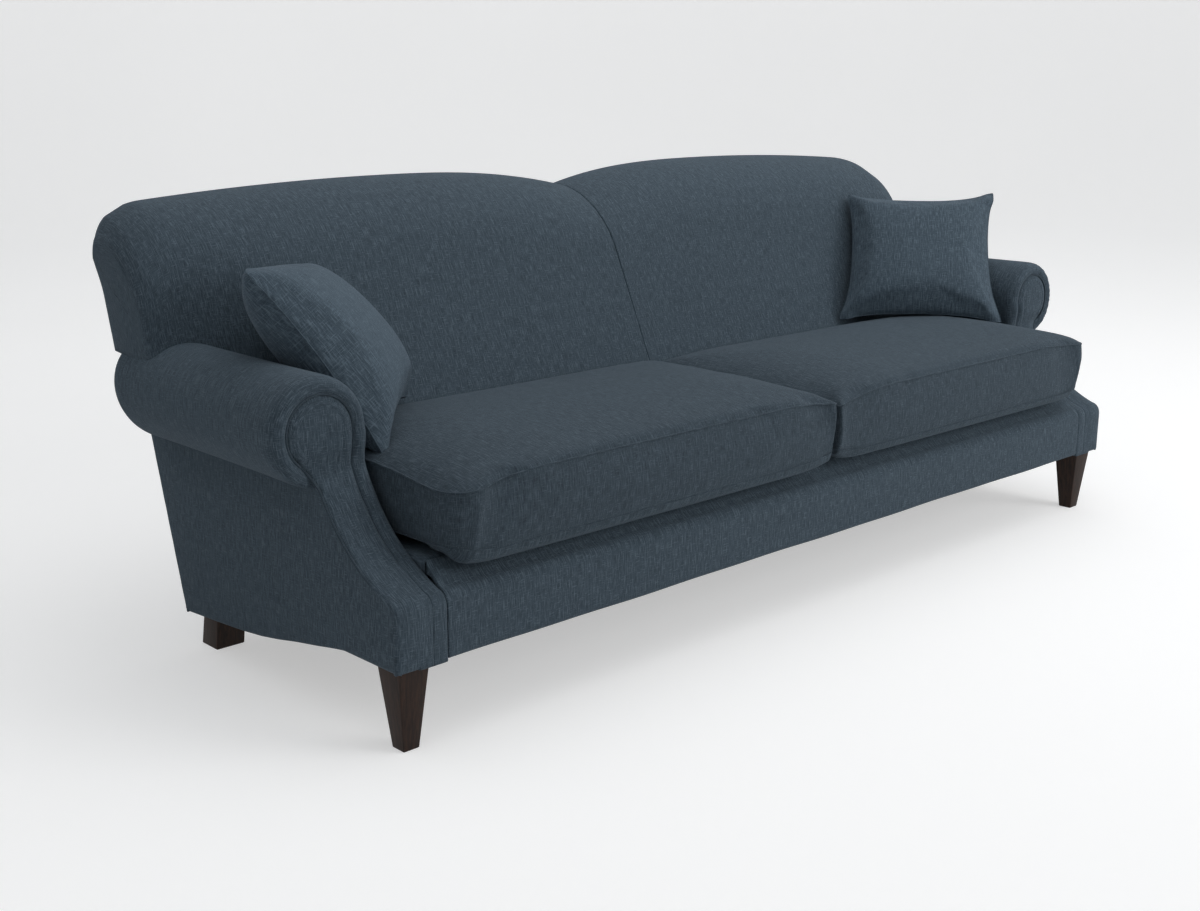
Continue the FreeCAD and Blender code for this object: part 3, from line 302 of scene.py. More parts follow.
def woven_cover(name, painted_light_scale=1.0, streaks=1.0):
    """Slubbed plain weave in metres of the piece's own weave map, its warp along the map's second direction."""
    fabric = props()["fabric"]
    shades = Shades(name)
    across, along, _ = shades.parts(shades.node("ShaderNodeUVMap", {"uv_map": "weave"}))
    pitch = fabric.thread_pitch
    # Each thread wanders a little, so that no thread is ruler straight.
    wander = (shades.noise(shades.point(across * 6.0, along * 14.0), 1.0, 1.0, flat=True) - 0.5) * 0.004
    u = across + wander
    v = along + wander * 0.6
    warp = shades.noise(shades.point(u / fabric.slub_width, v / fabric.slub_length), 1.0, 3.0, 0.6, True)
    weft = shades.noise(shades.point(u / 0.018, v / 0.0018), 1.0, 3.0, 0.6, True)
    grain = shades.noise(shades.point(u / 0.0016, v / 0.0022), 1.0, 2.0, 0.7, True)
    heather = shades.noise(shades.point(u / 0.045, v / 0.11), 1.0, 3.0, 0.55, True)
    long_warp = shades.noise(shades.point(u / 0.0034, v / 0.16), 1.0, 2.0, 0.5, True)
    slubs = warp.between(0.50, 0.72) * (0.35 + 0.9 * heather)
    cross = weft.between(0.54, 0.76)
    shade = (1 - warp).between(0.50, 0.70)
    # Plain weave: the warp lies on top in every other cell and the weft in the rest.
    over = (u * (math.pi / pitch)).sine() * (v * (math.pi / pitch)).sine()
    crossing = over.size() ** 0.6
    # painted_light_scale lightens or darkens every thread. It is painted light and painted shade, which make lit and
    # shaded copies of the one covering.
    light = [c * painted_light_scale for c in fabric.light_thread]
    ground = [c * painted_light_scale for c in fabric.ground]
    dark = [c * painted_light_scale for c in fabric.dark_thread]
    tint = shades.mix(shade * (0.95 * streaks), ground, dark)
    tint = shades.mix(slubs * (0.86 * streaks), tint, light)
    tint = shades.mix(cross * (0.80 * streaks), tint, light)
    tint = shades.mix((long_warp.between(0.45, 0.75)) * (0.18 * streaks), tint, light)
    tint = shades.mix(grain.between(0.35, 0.75) * 0.22, tint, light)
    # The hollows between crossings are darkened, as painted shade.
    tint = shades.mix((1 - crossing) * 0.28, tint, dark)
    tint = shades.mix((heather - 0.38) * 0.35, tint, dark)
    height = crossing * 0.35 + slubs * 0.55 + cross * 0.25 + grain * 0.3
    normal = shades.bump(height, 0.55, 0.0006)
    rough = 0.86 + grain * 0.12
    constants = {
        "Specular IOR Level": 0.18,
        "Sheen Weight": fabric.sheen,
        "Sheen Roughness": 0.55,
        "Sheen Tint": (0.62, 0.76, 0.90),
    }
    return shades.surface(constants, base=tint, rough=rough, normal=normal)


def stained_legs():
    """Espresso stain over an open straight grain that runs up the leg, worn lighter on a few pores."""
    timber = props()["timber"]
    shades = Shades("leg_wood")
    x, y, z = shades.parts(shades.node("ShaderNodeTexCoord", None, None, out="Object"))
    wander = (shades.noise(shades.point(x * 9.0, y * 9.0, z * 3.0), 1.0, 2.0) - 0.5) * 0.03
    rings = shades.noise(shades.point((x + wander) * 170.0, (y + wander) * 170.0, z * 5.0), 1.0, 4.0, 0.6)
    pores = shades.noise(shades.point(x * 900.0, y * 900.0, z * 22.0), 1.0, 2.0, 0.6)
    blotch = shades.noise(shades.point(x * 20.0, y * 20.0, z * 12.0), 1.0, 2.0, 0.5)
    tint = shades.mix(rings.between(0.36, 0.66), timber.leg_dark, timber.leg_light)
    tint = shades.mix(pores.between(0.56, 0.70) * 0.55, tint, [c * 0.4 for c in timber.leg_dark])
    tint = shades.mix(blotch.between(0.5, 0.8) * 0.25, tint, timber.leg_light)
    normal = shades.bump(rings * 0.4 - pores.between(0.56, 0.70) * 0.6, 0.35, 0.0004)
    rough = 0.46 + blotch * 0.16 + pores * 0.10
    constants = {"Specular IOR Level": 0.22, "Coat Roughness": 0.30, "Coat Weight": 0.05}
    return shades.surface(constants, base=tint, rough=rough, normal=normal)


def plain_timber(name, tone, along, layers=False):
    """Timber whose grain runs along an axis, or plywood with glued layers at its edge."""
    shades = Shades(name)
    places = shades.parts(shades.node("ShaderNodeTexCoord", None, None, out="Object"))
    stretched = [place * (4.0 if axis == along else 62.0) for axis, place in enumerate(places)]
    wander = shades.noise(shades.point(*[place * 3.0 for place in places]), 1.0, 2.0) * 3.0
    stretched[0] = stretched[0] + wander
    grain = shades.noise(shades.point(*stretched), 1.0, 4.0, 0.6)
    pores = shades.noise(shades.point(*[place * 7.0 for place in stretched]), 1.0, 2.0, 0.6)
    tint = shades.mix(grain.between(0.35, 0.7), tone, [c * 0.55 for c in tone])
    tint = shades.mix(pores.between(0.55, 0.8) * 0.35, tint, [c * 0.35 for c in tone])
    if layers:
        plies = (places[0] * (math.pi / 0.0028)).sine().between(-0.2, 0.2)
        tint = shades.mix(plies * 0.25, tint, [c * 0.45 for c in tone])
    normal = shades.bump(grain * 0.5 + pores * 0.3, 0.3, 0.0005)
    return shades.surface({"Specular IOR Level": 0.3}, base=tint, rough=0.55 + grain * 0.25, normal=normal)


def metal(name, tone, roughness, zinc):
    """Drawn or plated steel with fine scratches and a few dull patches."""
    shades = Shades(name)
    place = shades.node("ShaderNodeTexCoord", None, None, out="Object")
    x, y, z = shades.parts(place)
    scratches = shades.noise(shades.point(x * 60.0, y * 900.0, z * 900.0), 1.0, 3.0, 0.6)
    patches = shades.noise(place, zinc, 3.0, 0.6)
    tint = shades.mix(patches.between(0.4, 0.7) * 0.5, tone, [c * 0.55 for c in tone])
    tint = shades.mix(scratches.between(0.55, 0.75) * 0.2, tint, (0.8, 0.8, 0.8))
    rough = roughness + patches * 0.2
    normal = shades.bump(scratches, 0.12, 0.0002)
    return shades.surface({"Metallic": 1.0}, base=tint, rough=rough, normal=normal)


def strapping(name, tone, dark, pitch):
    """Coarse woven strap or tape in object space."""
    shades = Shades(name)
    x, y, z = shades.parts(shades.node("ShaderNodeTexCoord", None, None, out="Object"))
    weave = (x * (math.pi / pitch)).sine() * ((z + y) * (math.pi / pitch)).sine()
    fuzz = shades.noise(shades.point(x * 500.0, y * 500.0, z * 500.0), 1.0, 3.0, 0.7)
    slubs = shades.noise(shades.point(x * 420.0, y * 30.0, z * 30.0), 1.0, 2.0, 0.6)
    tint = shades.mix(weave.size() ** 0.5, dark, tone)
    tint = shades.mix(slubs.between(0.5, 0.75) * 0.5, tint, [min(1.0, c * 1.35) for c in tone])
    tint = shades.mix(fuzz.between(0.55, 0.8) * 0.3, tint, dark)
    normal = shades.bump(weave.size() + fuzz * 0.4, 0.6, 0.0008)
    return shades.surface({"Specular IOR Level": 0.15}, base=tint, rough=0.85 + fuzz * 0.1, normal=normal)


def pressed_felt():
    """Thin black non-woven cloth with pressed dimples and loose fibres."""
    shades = Shades("dust_cloth")
    x, y, z = shades.parts(shades.node("ShaderNodeTexCoord", None, None, out="Object"))
    dimples = (x * 900.0).sine() * (y * 900.0).sine()
    fibres = shades.noise(shades.point(x * 300.0, y * 45.0, z * 60.0), 1.0, 4.0, 0.7)
    others = shades.noise(shades.point(x * 40.0, y * 320.0, z * 60.0), 1.0, 4.0, 0.7)
    tint = shades.mix(fibres.between(0.45, 0.7) * 0.6, (0.010, 0.010, 0.011), (0.035, 0.036, 0.039))
    tint = shades.mix(others.between(0.5, 0.7) * 0.5, tint, (0.045, 0.046, 0.048))
    normal = shades.bump(dimples * 0.5 + fibres * 0.5, 0.5, 0.0004)
    return shades.surface({"Specular IOR Level": 0.2}, base=tint, rough=0.8 + fibres * 0.12, normal=normal)


# Meshes.


def smooth_step(t):
    t = np.clip(t, 0.0, 1.0)
    return t * t * (3 - 2 * t)


def skin(name, sheets, material, smooth=True, mirror=False, weld=2e-5, shift=0.0):
    """One closed skin from sheets of rows of points, each with its weave map in metres."""
    points = []
    faces = []
    maps = []
    start = 0
    for rows, weave in sheets:
        rows = np.asarray(rows, dtype=float)
        weave = np.asarray(weave, dtype=float)
        n, m = rows.shape[:2]
        points.append(rows.reshape(-1, 3))
        maps.append(weave.reshape(-1, 2))
        index = np.arange(n * m).reshape(n, m) + start
        quads = np.stack([index[:-1, :-1], index[1:, :-1], index[1:, 1:], index[:-1, 1:]], axis=-1)
        faces.append(quads.reshape(-1, 4))
        start += n * m
    points = np.concatenate(points)
    maps = np.concatenate(maps)
    faces = np.concatenate(faces)
    if mirror:
        points[:, 0] *= -1
        faces = faces[:, ::-1]
    mesh = bpy.data.meshes.new(name)
    mesh.vertices.add(len(points))
    mesh.vertices.foreach_set("co", points.ravel())
    mesh.loops.add(faces.size)
    mesh.loops.foreach_set("vertex_index", faces.ravel().astype(np.int32))
    mesh.polygons.add(len(faces))
    mesh.polygons.foreach_set("loop_start", np.arange(0, faces.size, 4, dtype=np.int32))
    mesh.update(calc_edges=True)
    layer = mesh.uv_layers.new(name="weave")
    layer.data.foreach_set("uv", (maps[faces.ravel()] + shift).ravel())
    mesh.validate()
    tidy_skin(mesh, weld)
    mesh.materials.append(material)
    if smooth:
        mesh.shade_smooth()
    piece = bpy.data.objects.new(name, mesh)
    bpy.context.scene.collection.objects.link(piece)
    return piece


def tidy_skin(mesh, weld):
    """Merges doubles, drops faces without area and turns every face outwards."""
    work = bmesh.new()
    work.from_mesh(mesh)
    bmesh.ops.remove_doubles(work, verts=work.verts, dist=weld)
    bmesh.ops.dissolve_degenerate(work, edges=work.edges, dist=1e-6)
    bmesh.ops.recalc_face_normals(work, faces=work.faces)
    work.to_mesh(mesh)
    work.free()


def flat_map(rows, across=(1, 0, 0), up=(0, 0, 1)):
    """A weave map from two directions in space."""
    rows = np.asarray(rows)
    return np.stack([rows @ np.asarray(across, float), rows @ np.asarray(up, float)], axis=-1)


def run_map(rows):
    """A weave map measured along the rows and columns themselves, from their middle lines."""
    rows = np.asarray(rows, float)
    down = np.linalg.norm(np.diff(rows, axis=0), axis=2)
    side = np.linalg.norm(np.diff(rows, axis=1), axis=2)
    v = np.concatenate([np.zeros((1, rows.shape[1])), np.cumsum(down, axis=0)])
    u = np.concatenate([np.zeros((rows.shape[0], 1)), np.cumsum(side, axis=1)], axis=1)
    middle = rows.shape[0] // 2
    centre = rows.shape[1] // 2
    return np.stack([np.broadcast_to(u[middle], u.shape), np.broadcast_to(v[:, centre][:, None], v.shape)], axis=-1)


def border(front, back):
    """The strip that joins the edges of a front sheet to those of a back sheet."""
    strips = []
    for a, b in ((front[0], back[0]), (front[-1], back[-1]), (front[:, 0], back[:, 0]), (front[:, -1], back[:, -1])):
        rows = np.stack([a, b])
        strips.append((rows, run_map(rows)))
    return strips


def ride(piece, body, slot, *nodes):
    """A finished piece rides on its body and stands for its nodes, which are hidden; its slot is not used."""
    if nodes:
        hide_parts(*nodes)
    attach(piece, body)
    return piece


def baked(piece):
    """The piece with its modifiers' result as a plain mesh."""
    graph = bpy.context.evaluated_depsgraph_get()
    mesh = bpy.data.meshes.new_from_object(piece.evaluated_get(graph))
    piece.modifiers.clear()
    old = piece.data
    piece.data = mesh
    if isinstance(old, bpy.types.Mesh):
        bpy.data.meshes.remove(old)
    return piece


def set_input(modifier, tree, name, value):
    """One named input of a node modifier, by its socket's identifier."""
    for item in tree.interface.items_tree:
        if item.item_type == "SOCKET" and item.in_out == "INPUT" and item.name == name:
            modifier[item.identifier] = value
            return
    raise RuntimeError("no input named " + name)


def tree_input(tree, name, kind, value=None):
    socket = tree.interface.new_socket(name, in_out="INPUT", socket_type=kind)
    if value is not None:
        socket.default_value = value
    return socket


def cord_tree(material):
    """Nodes that sweep a round cord along each path and map its covering in metres."""
    tree = bpy.data.node_groups.new("piping_along_seam", "GeometryNodeTree")
    tree.interface.new_socket("Geometry", in_out="INPUT", socket_type="NodeSocketGeometry")
    tree_input(tree, "Radius", "NodeSocketFloat", 0.0025)
    tree_input(tree, "Spacing", "NodeSocketFloat", 0.004)
    tree_input(tree, "Sides", "NodeSocketInt", 8)
    tree.interface.new_socket("Geometry", in_out="OUTPUT", socket_type="NodeSocketGeometry")
    nodes = tree.nodes
    link = tree.links.new
    source = nodes.new("NodeGroupInput")
    result = nodes.new("NodeGroupOutput")
    resample = nodes.new("GeometryNodeResampleCurve")
    resample.mode = "LENGTH"
    link(source.outputs["Geometry"], resample.inputs["Curve"])
    link(source.outputs["Spacing"], resample.inputs["Length"])
    along = nodes.new("GeometryNodeSplineParameter")
    keep_along = nodes.new("GeometryNodeStoreNamedAttribute")
    keep_along.data_type = "FLOAT"
    keep_along.domain = "POINT"
    keep_along.inputs["Name"].default_value = "run"
    link(resample.outputs["Curve"], keep_along.inputs["Geometry"])
    link(along.outputs["Length"], keep_along.inputs["Value"])
    circle = nodes.new("GeometryNodeCurvePrimitiveCircle")
    link(source.outputs["Sides"], circle.inputs["Resolution"])
    link(source.outputs["Radius"], circle.inputs["Radius"])
    round_param = nodes.new("GeometryNodeSplineParameter")
    keep_round = nodes.new("GeometryNodeStoreNamedAttribute")
    keep_round.data_type = "FLOAT"
    keep_round.domain = "POINT"
    keep_round.inputs["Name"].default_value = "girth"
    link(circle.outputs["Curve"], keep_round.inputs["Geometry"])
    link(round_param.outputs["Length"], keep_round.inputs["Value"])
    sweep = nodes.new("GeometryNodeCurveToMesh")
    sweep.inputs["Fill Caps"].default_value = True
    link(keep_along.outputs["Geometry"], sweep.inputs["Curve"])
    link(keep_round.outputs["Geometry"], sweep.inputs["Profile Curve"])
    run = nodes.new("GeometryNodeInputNamedAttribute")
    run.data_type = "FLOAT"
    run.inputs["Name"].default_value = "run"
    girth = nodes.new("GeometryNodeInputNamedAttribute")
    girth.data_type = "FLOAT"
    girth.inputs["Name"].default_value = "girth"
    pair = nodes.new("ShaderNodeCombineXYZ")
    link(girth.outputs["Attribute"], pair.inputs["X"])
    link(run.outputs["Attribute"], pair.inputs["Y"])
    weave = nodes.new("GeometryNodeStoreNamedAttribute")
    weave.data_type = "FLOAT2"
    weave.domain = "CORNER"
    weave.inputs["Name"].default_value = "weave"
    link(sweep.outputs["Mesh"], weave.inputs["Geometry"])
    link(pair.outputs["Vector"], weave.inputs["Value"])
    smooth = nodes.new("GeometryNodeSetShadeSmooth")
    link(weave.outputs["Geometry"], smooth.inputs["Geometry"])
    real = nodes.new("GeometryNodeRealizeInstances")
    link(smooth.outputs["Geometry"], real.inputs["Geometry"])
    paint = nodes.new("GeometryNodeSetMaterial")
    paint.inputs["Material"].default_value = material
    link(real.outputs["Geometry"], paint.inputs["Geometry"])
    link(paint.outputs["Geometry"], result.inputs["Geometry"])
    return tree


def curve_path(name, paths):
    """A curve object through each row of points; a path whose ends meet is closed."""
    data = bpy.data.curves.new(name, "CURVE")
    data.dimensions = "3D"
    data.twist_mode = "MINIMUM"
    for points in paths:
        points = np.asarray(points, float)
        closed = np.linalg.norm(points[0] - points[-1]) < 1e-6
        if closed:
            points = points[:-1]
        spline = data.splines.new("POLY")
        spline.points.add(len(points) - 1)
        four = np.ones((len(points), 4))
        four[:, :3] = points
        spline.points.foreach_set("co", four.ravel())
        spline.use_cyclic_u = bool(closed)
    piece = bpy.data.objects.new(name, data)
    bpy.context.scene.collection.objects.link(piece)
    return piece


def grown(name, source, tree, inputs):
    """The plain mesh that a node tree makes from a source object."""
    modifier = source.modifiers.new("grown", "NODES")
    modifier.node_group = tree
    for key, value in inputs.items():
        set_input(modifier, tree, key, value)
    graph = bpy.context.evaluated_depsgraph_get()
    mesh = bpy.data.meshes.new_from_object(source.evaluated_get(graph))
    mesh.name = name
    data = source.data
    source.modifiers.clear()
    bpy.data.objects.remove(source)
    if isinstance(data, bpy.types.Curve):
        bpy.data.curves.remove(data)
    elif isinstance(data, bpy.types.Mesh):
        bpy.data.meshes.remove(data)
    if not len(mesh.polygons):
        raise RuntimeError(name + " came out empty")
    piece = bpy.data.objects.new(name, mesh)
    bpy.context.scene.collection.objects.link(piece)
    return piece


def seam_cord(name, paths, radius, material, spacing=0.004, sides=8):
    """A round cord along seams."""
    tree = cord_tree(material)
    inputs = {"Radius": radius, "Spacing": spacing, "Sides": sides}
    piece = grown(name, curve_path(name + "_path", paths), tree, inputs)
    work = bmesh.new()
    work.from_mesh(piece.data)
    bmesh.ops.recalc_face_normals(work, faces=work.faces)
    work.to_mesh(piece.data)
    work.free()
    return piece


def repeat_tree(name, material):
    """Nodes that place a small part again and again along each path, with a little seeded unevenness."""
    tree = bpy.data.node_groups.new(name, "GeometryNodeTree")
    tree.interface.new_socket("Geometry", in_out="INPUT", socket_type="NodeSocketGeometry")
    tree_input(tree, "Pitch", "NodeSocketFloat", 0.004)
    tree_input(tree, "Size", "NodeSocketVector", (0.001, 0.001, 0.003))
    tree_input(tree, "Uneven", "NodeSocketFloat", 0.1)
    tree_input(tree, "Seed", "NodeSocketInt", 7)
    tree.interface.new_socket("Geometry", in_out="OUTPUT", socket_type="NodeSocketGeometry")
    nodes = tree.nodes
    link = tree.links.new
    source = nodes.new("NodeGroupInput")
    result = nodes.new("NodeGroupOutput")
    places = nodes.new("GeometryNodeCurveToPoints")
    places.mode = "LENGTH"
    link(source.outputs["Geometry"], places.inputs["Curve"])
    link(source.outputs["Pitch"], places.inputs["Length"])
    bead = nodes.new("GeometryNodeMeshUVSphere")
    bead.inputs["Segments"].default_value = 6
    bead.inputs["Rings"].default_value = 4
    bead.inputs["Radius"].default_value = 0.5
    spread = nodes.new("FunctionNodeRandomValue")
    spread.data_type = "FLOAT"
    link(source.outputs["Seed"], spread.inputs["Seed"])
    swing = nodes.new("ShaderNodeMath")
    swing.operation = "MULTIPLY"
    centred = nodes.new("ShaderNodeMath")
    centred.operation = "SUBTRACT"
    centred.inputs[1].default_value = 0.5
    random_out = [o for o in spread.outputs if o.enabled and o.type == "VALUE"][0]
    link(random_out, centred.inputs[0])
    link(centred.outputs[0], swing.inputs[0])
    link(source.outputs["Uneven"], swing.inputs[1])
    turn = nodes.new("FunctionNodeAxisAngleToRotation")
    turn.inputs["Axis"].default_value = (1.0, 0.0, 0.0)
    link(swing.outputs[0], turn.inputs["Angle"])
    rotate = nodes.new("FunctionNodeRotateRotation")
    rotate.rotation_space = "LOCAL"
    link(places.outputs["Rotation"], rotate.inputs["Rotation"])
    link(turn.outputs["Rotation"], rotate.inputs["Rotate By"])
    copies = nodes.new("GeometryNodeInstanceOnPoints")
    link(places.outputs["Points"], copies.inputs["Points"])
    link(bead.outputs["Mesh"], copies.inputs["Instance"])
    link(rotate.outputs["Rotation"], copies.inputs["Rotation"])
    link(source.outputs["Size"], copies.inputs["Scale"])
    real = nodes.new("GeometryNodeRealizeInstances")
    link(copies.outputs["Instances"], real.inputs["Geometry"])
    smooth = nodes.new("GeometryNodeSetShadeSmooth")
    link(real.outputs["Geometry"], smooth.inputs["Geometry"])
    paint = nodes.new("GeometryNodeSetMaterial")
    paint.inputs["Material"].default_value = material
    link(smooth.outputs["Geometry"], paint.inputs["Geometry"])
    link(paint.outputs["Geometry"], result.inputs["Geometry"])
    return tree


def row_along(name, paths, material, pitch, size, uneven=0.1):
    """A row of small parts, such as stitches or teeth, along paths."""
    tree = repeat_tree(name + "_row", material)
    inputs = {"Pitch": pitch, "Size": size, "Uneven": uneven, "Seed": 7}
    return grown(name, curve_path(name + "_path", paths), tree, inputs)


# The arm's front line, shared by the pad, the facing and the outside panel.


def arc_points(a, b, c, count):
    """Points on the arc from a to c through b, in a plane."""
    ax, ay = a
    bx, by = b
    cx, cy = c
    d = 2 * (ax * (by - cy) + bx * (cy - ay) + cx * (ay - by))
    aa, bb, cc = ax * ax + ay * ay, bx * bx + by * by, cx * cx + cy * cy
    ux = (aa * (by - cy) + bb * (cy - ay) + cc * (ay - by)) / d
    uy = (aa * (cx - bx) + bb * (ax - cx) + cc * (bx - ax)) / d
    start = math.atan2(ay - uy, ax - ux)
    middle = (math.atan2(by - uy, bx - ux) - start + math.pi) % (2 * math.pi) - math.pi
    end = (math.atan2(cy - uy, cx - ux) - start + math.pi) % (2 * math.pi) - math.pi
    if middle * end < 0:
        end += math.copysign(2 * math.pi, middle)
    radius = math.hypot(ax - ux, ay - uy)
    angles = start + np.linspace(0, end, count)
    return np.stack([ux + radius * np.cos(angles), uy + radius * np.sin(angles)], axis=-1)


def front_line(top=0.607):
    """Dense points (y, z) from the arm's lower front edge up to the top of the disc."""
    post = np.array([[FRONT_Y, 0.158], [FRONT_Y, 0.258]])
    bend = arc_points((FRONT_Y, 0.261), (-0.4576, 0.2776), (-0.440, 0.2862), 14)
    sweep = arc_points((-0.437, 0.2875), (-0.343, 0.342), (-0.240, 0.470), 60)
    neck = arc_points((-0.2385, 0.476), (-0.2400, 0.490), (-0.2425, 0.505), 8)
    disc = np.array([[-0.243, 0.515], [-0.243, max(top, 0.52)]])
    line = np.concatenate([post, bend, sweep, neck, disc])
    steps = np.linalg.norm(np.diff(line, axis=0), axis=1)
    run = np.concatenate([[0], np.cumsum(steps)])
    fine = np.linspace(0, run[-1], 800)
    y = np.interp(fine, run, line[:, 0])
    z = np.interp(fine, run, line[:, 1])
    for _ in range(6):
        y[3:-3] = np.convolve(y, np.ones(7) / 7, "valid")
    return fine, y, z


LINE_RUN, LINE_Y, LINE_Z = front_line()


def line_at(run):
    """Place and outward direction on the front line at a run along it."""
    y = np.interp(run, LINE_RUN, LINE_Y)
    z = np.interp(run, LINE_RUN, LINE_Z)
    step = 0.004
    dy = np.interp(run + step, LINE_RUN, LINE_Y) - np.interp(run - step, LINE_RUN, LINE_Y)
    dz = np.interp(run + step, LINE_RUN, LINE_Z) - np.interp(run - step, LINE_RUN, LINE_Z)
    size = np.maximum(np.hypot(dy, dz), 1e-9)
    return y, z, -dz / size, dy / size


def run_of_height(z):
    """The run along the front line at a height."""
    return np.interp(z, LINE_Z, LINE_RUN)


def rear_y(z, inwards=0.0):
    """The raked rear plane at a height."""
    rake = props()["back"].rake
    return 0.488 - (0.848 - z) * math.tan(rake) - inwards / math.cos(rake)


def hem_height(y):
    """Lower edge of the outside arm panel at a depth."""
    knots_y = np.array([-0.464, -0.300, -0.278, -0.250, -0.2105, -0.143, -0.080, -0.020, 0.042, 0.150, 0.262])
    knots_z = np.array([0.158, 0.1565, 0.153, 0.1478, 0.1400, 0.1280, 0.1150, 0.1045, 0.0970, 0.0875, 0.079])
    return np.interp(y, knots_y, knots_z)


def facing_edges(z, arms):
    """Inner and outer edge of the keyhole facing at a height."""
    c, r, zc = arms.roll_x, arms.disc_radius, arms.roll_z
    reach = np.sqrt(np.maximum(r * r - (z - zc) ** 2, 0.0))
    inner = np.where(z > zc, c - reach, arms.band_inner - (arms.band_inner - (c - r)) * smooth_step((z - 0.44) / 0.10))
    leave = zc - r * math.sin(math.radians(50))
    leave_x = c + r * math.cos(math.radians(50))
    t = np.clip((z - 0.436) / (leave - 0.436), 0, 1)
    curve = arms.outer_x + (leave_x - arms.outer_x) * t ** 1.9
    outer = np.where(z > leave, c + reach, np.where(z < 0.436, arms.outer_x, curve))
    return inner, outer


def edge_drop(distance, radius):
    """How far a padded edge has rolled down at a distance from its seam."""
    d = np.minimum(np.maximum(distance, 0), radius)
    return np.sqrt(np.maximum(radius * radius - (radius - d) ** 2, 0)) - radius


def nearest(points, outline):
    """Distance from each point to the nearest point of an outline."""
    flat = points.reshape(-1, 2)
    best = np.full(len(flat), 1e9)
    for start in range(0, len(outline), 200):
        part = outline[start:start + 200]
        gap = np.linalg.norm(flat[:, None, :] - part[None, :, :], axis=2)
        best = np.minimum(best, gap.min(axis=1))
    return best.reshape(points.shape[:2])


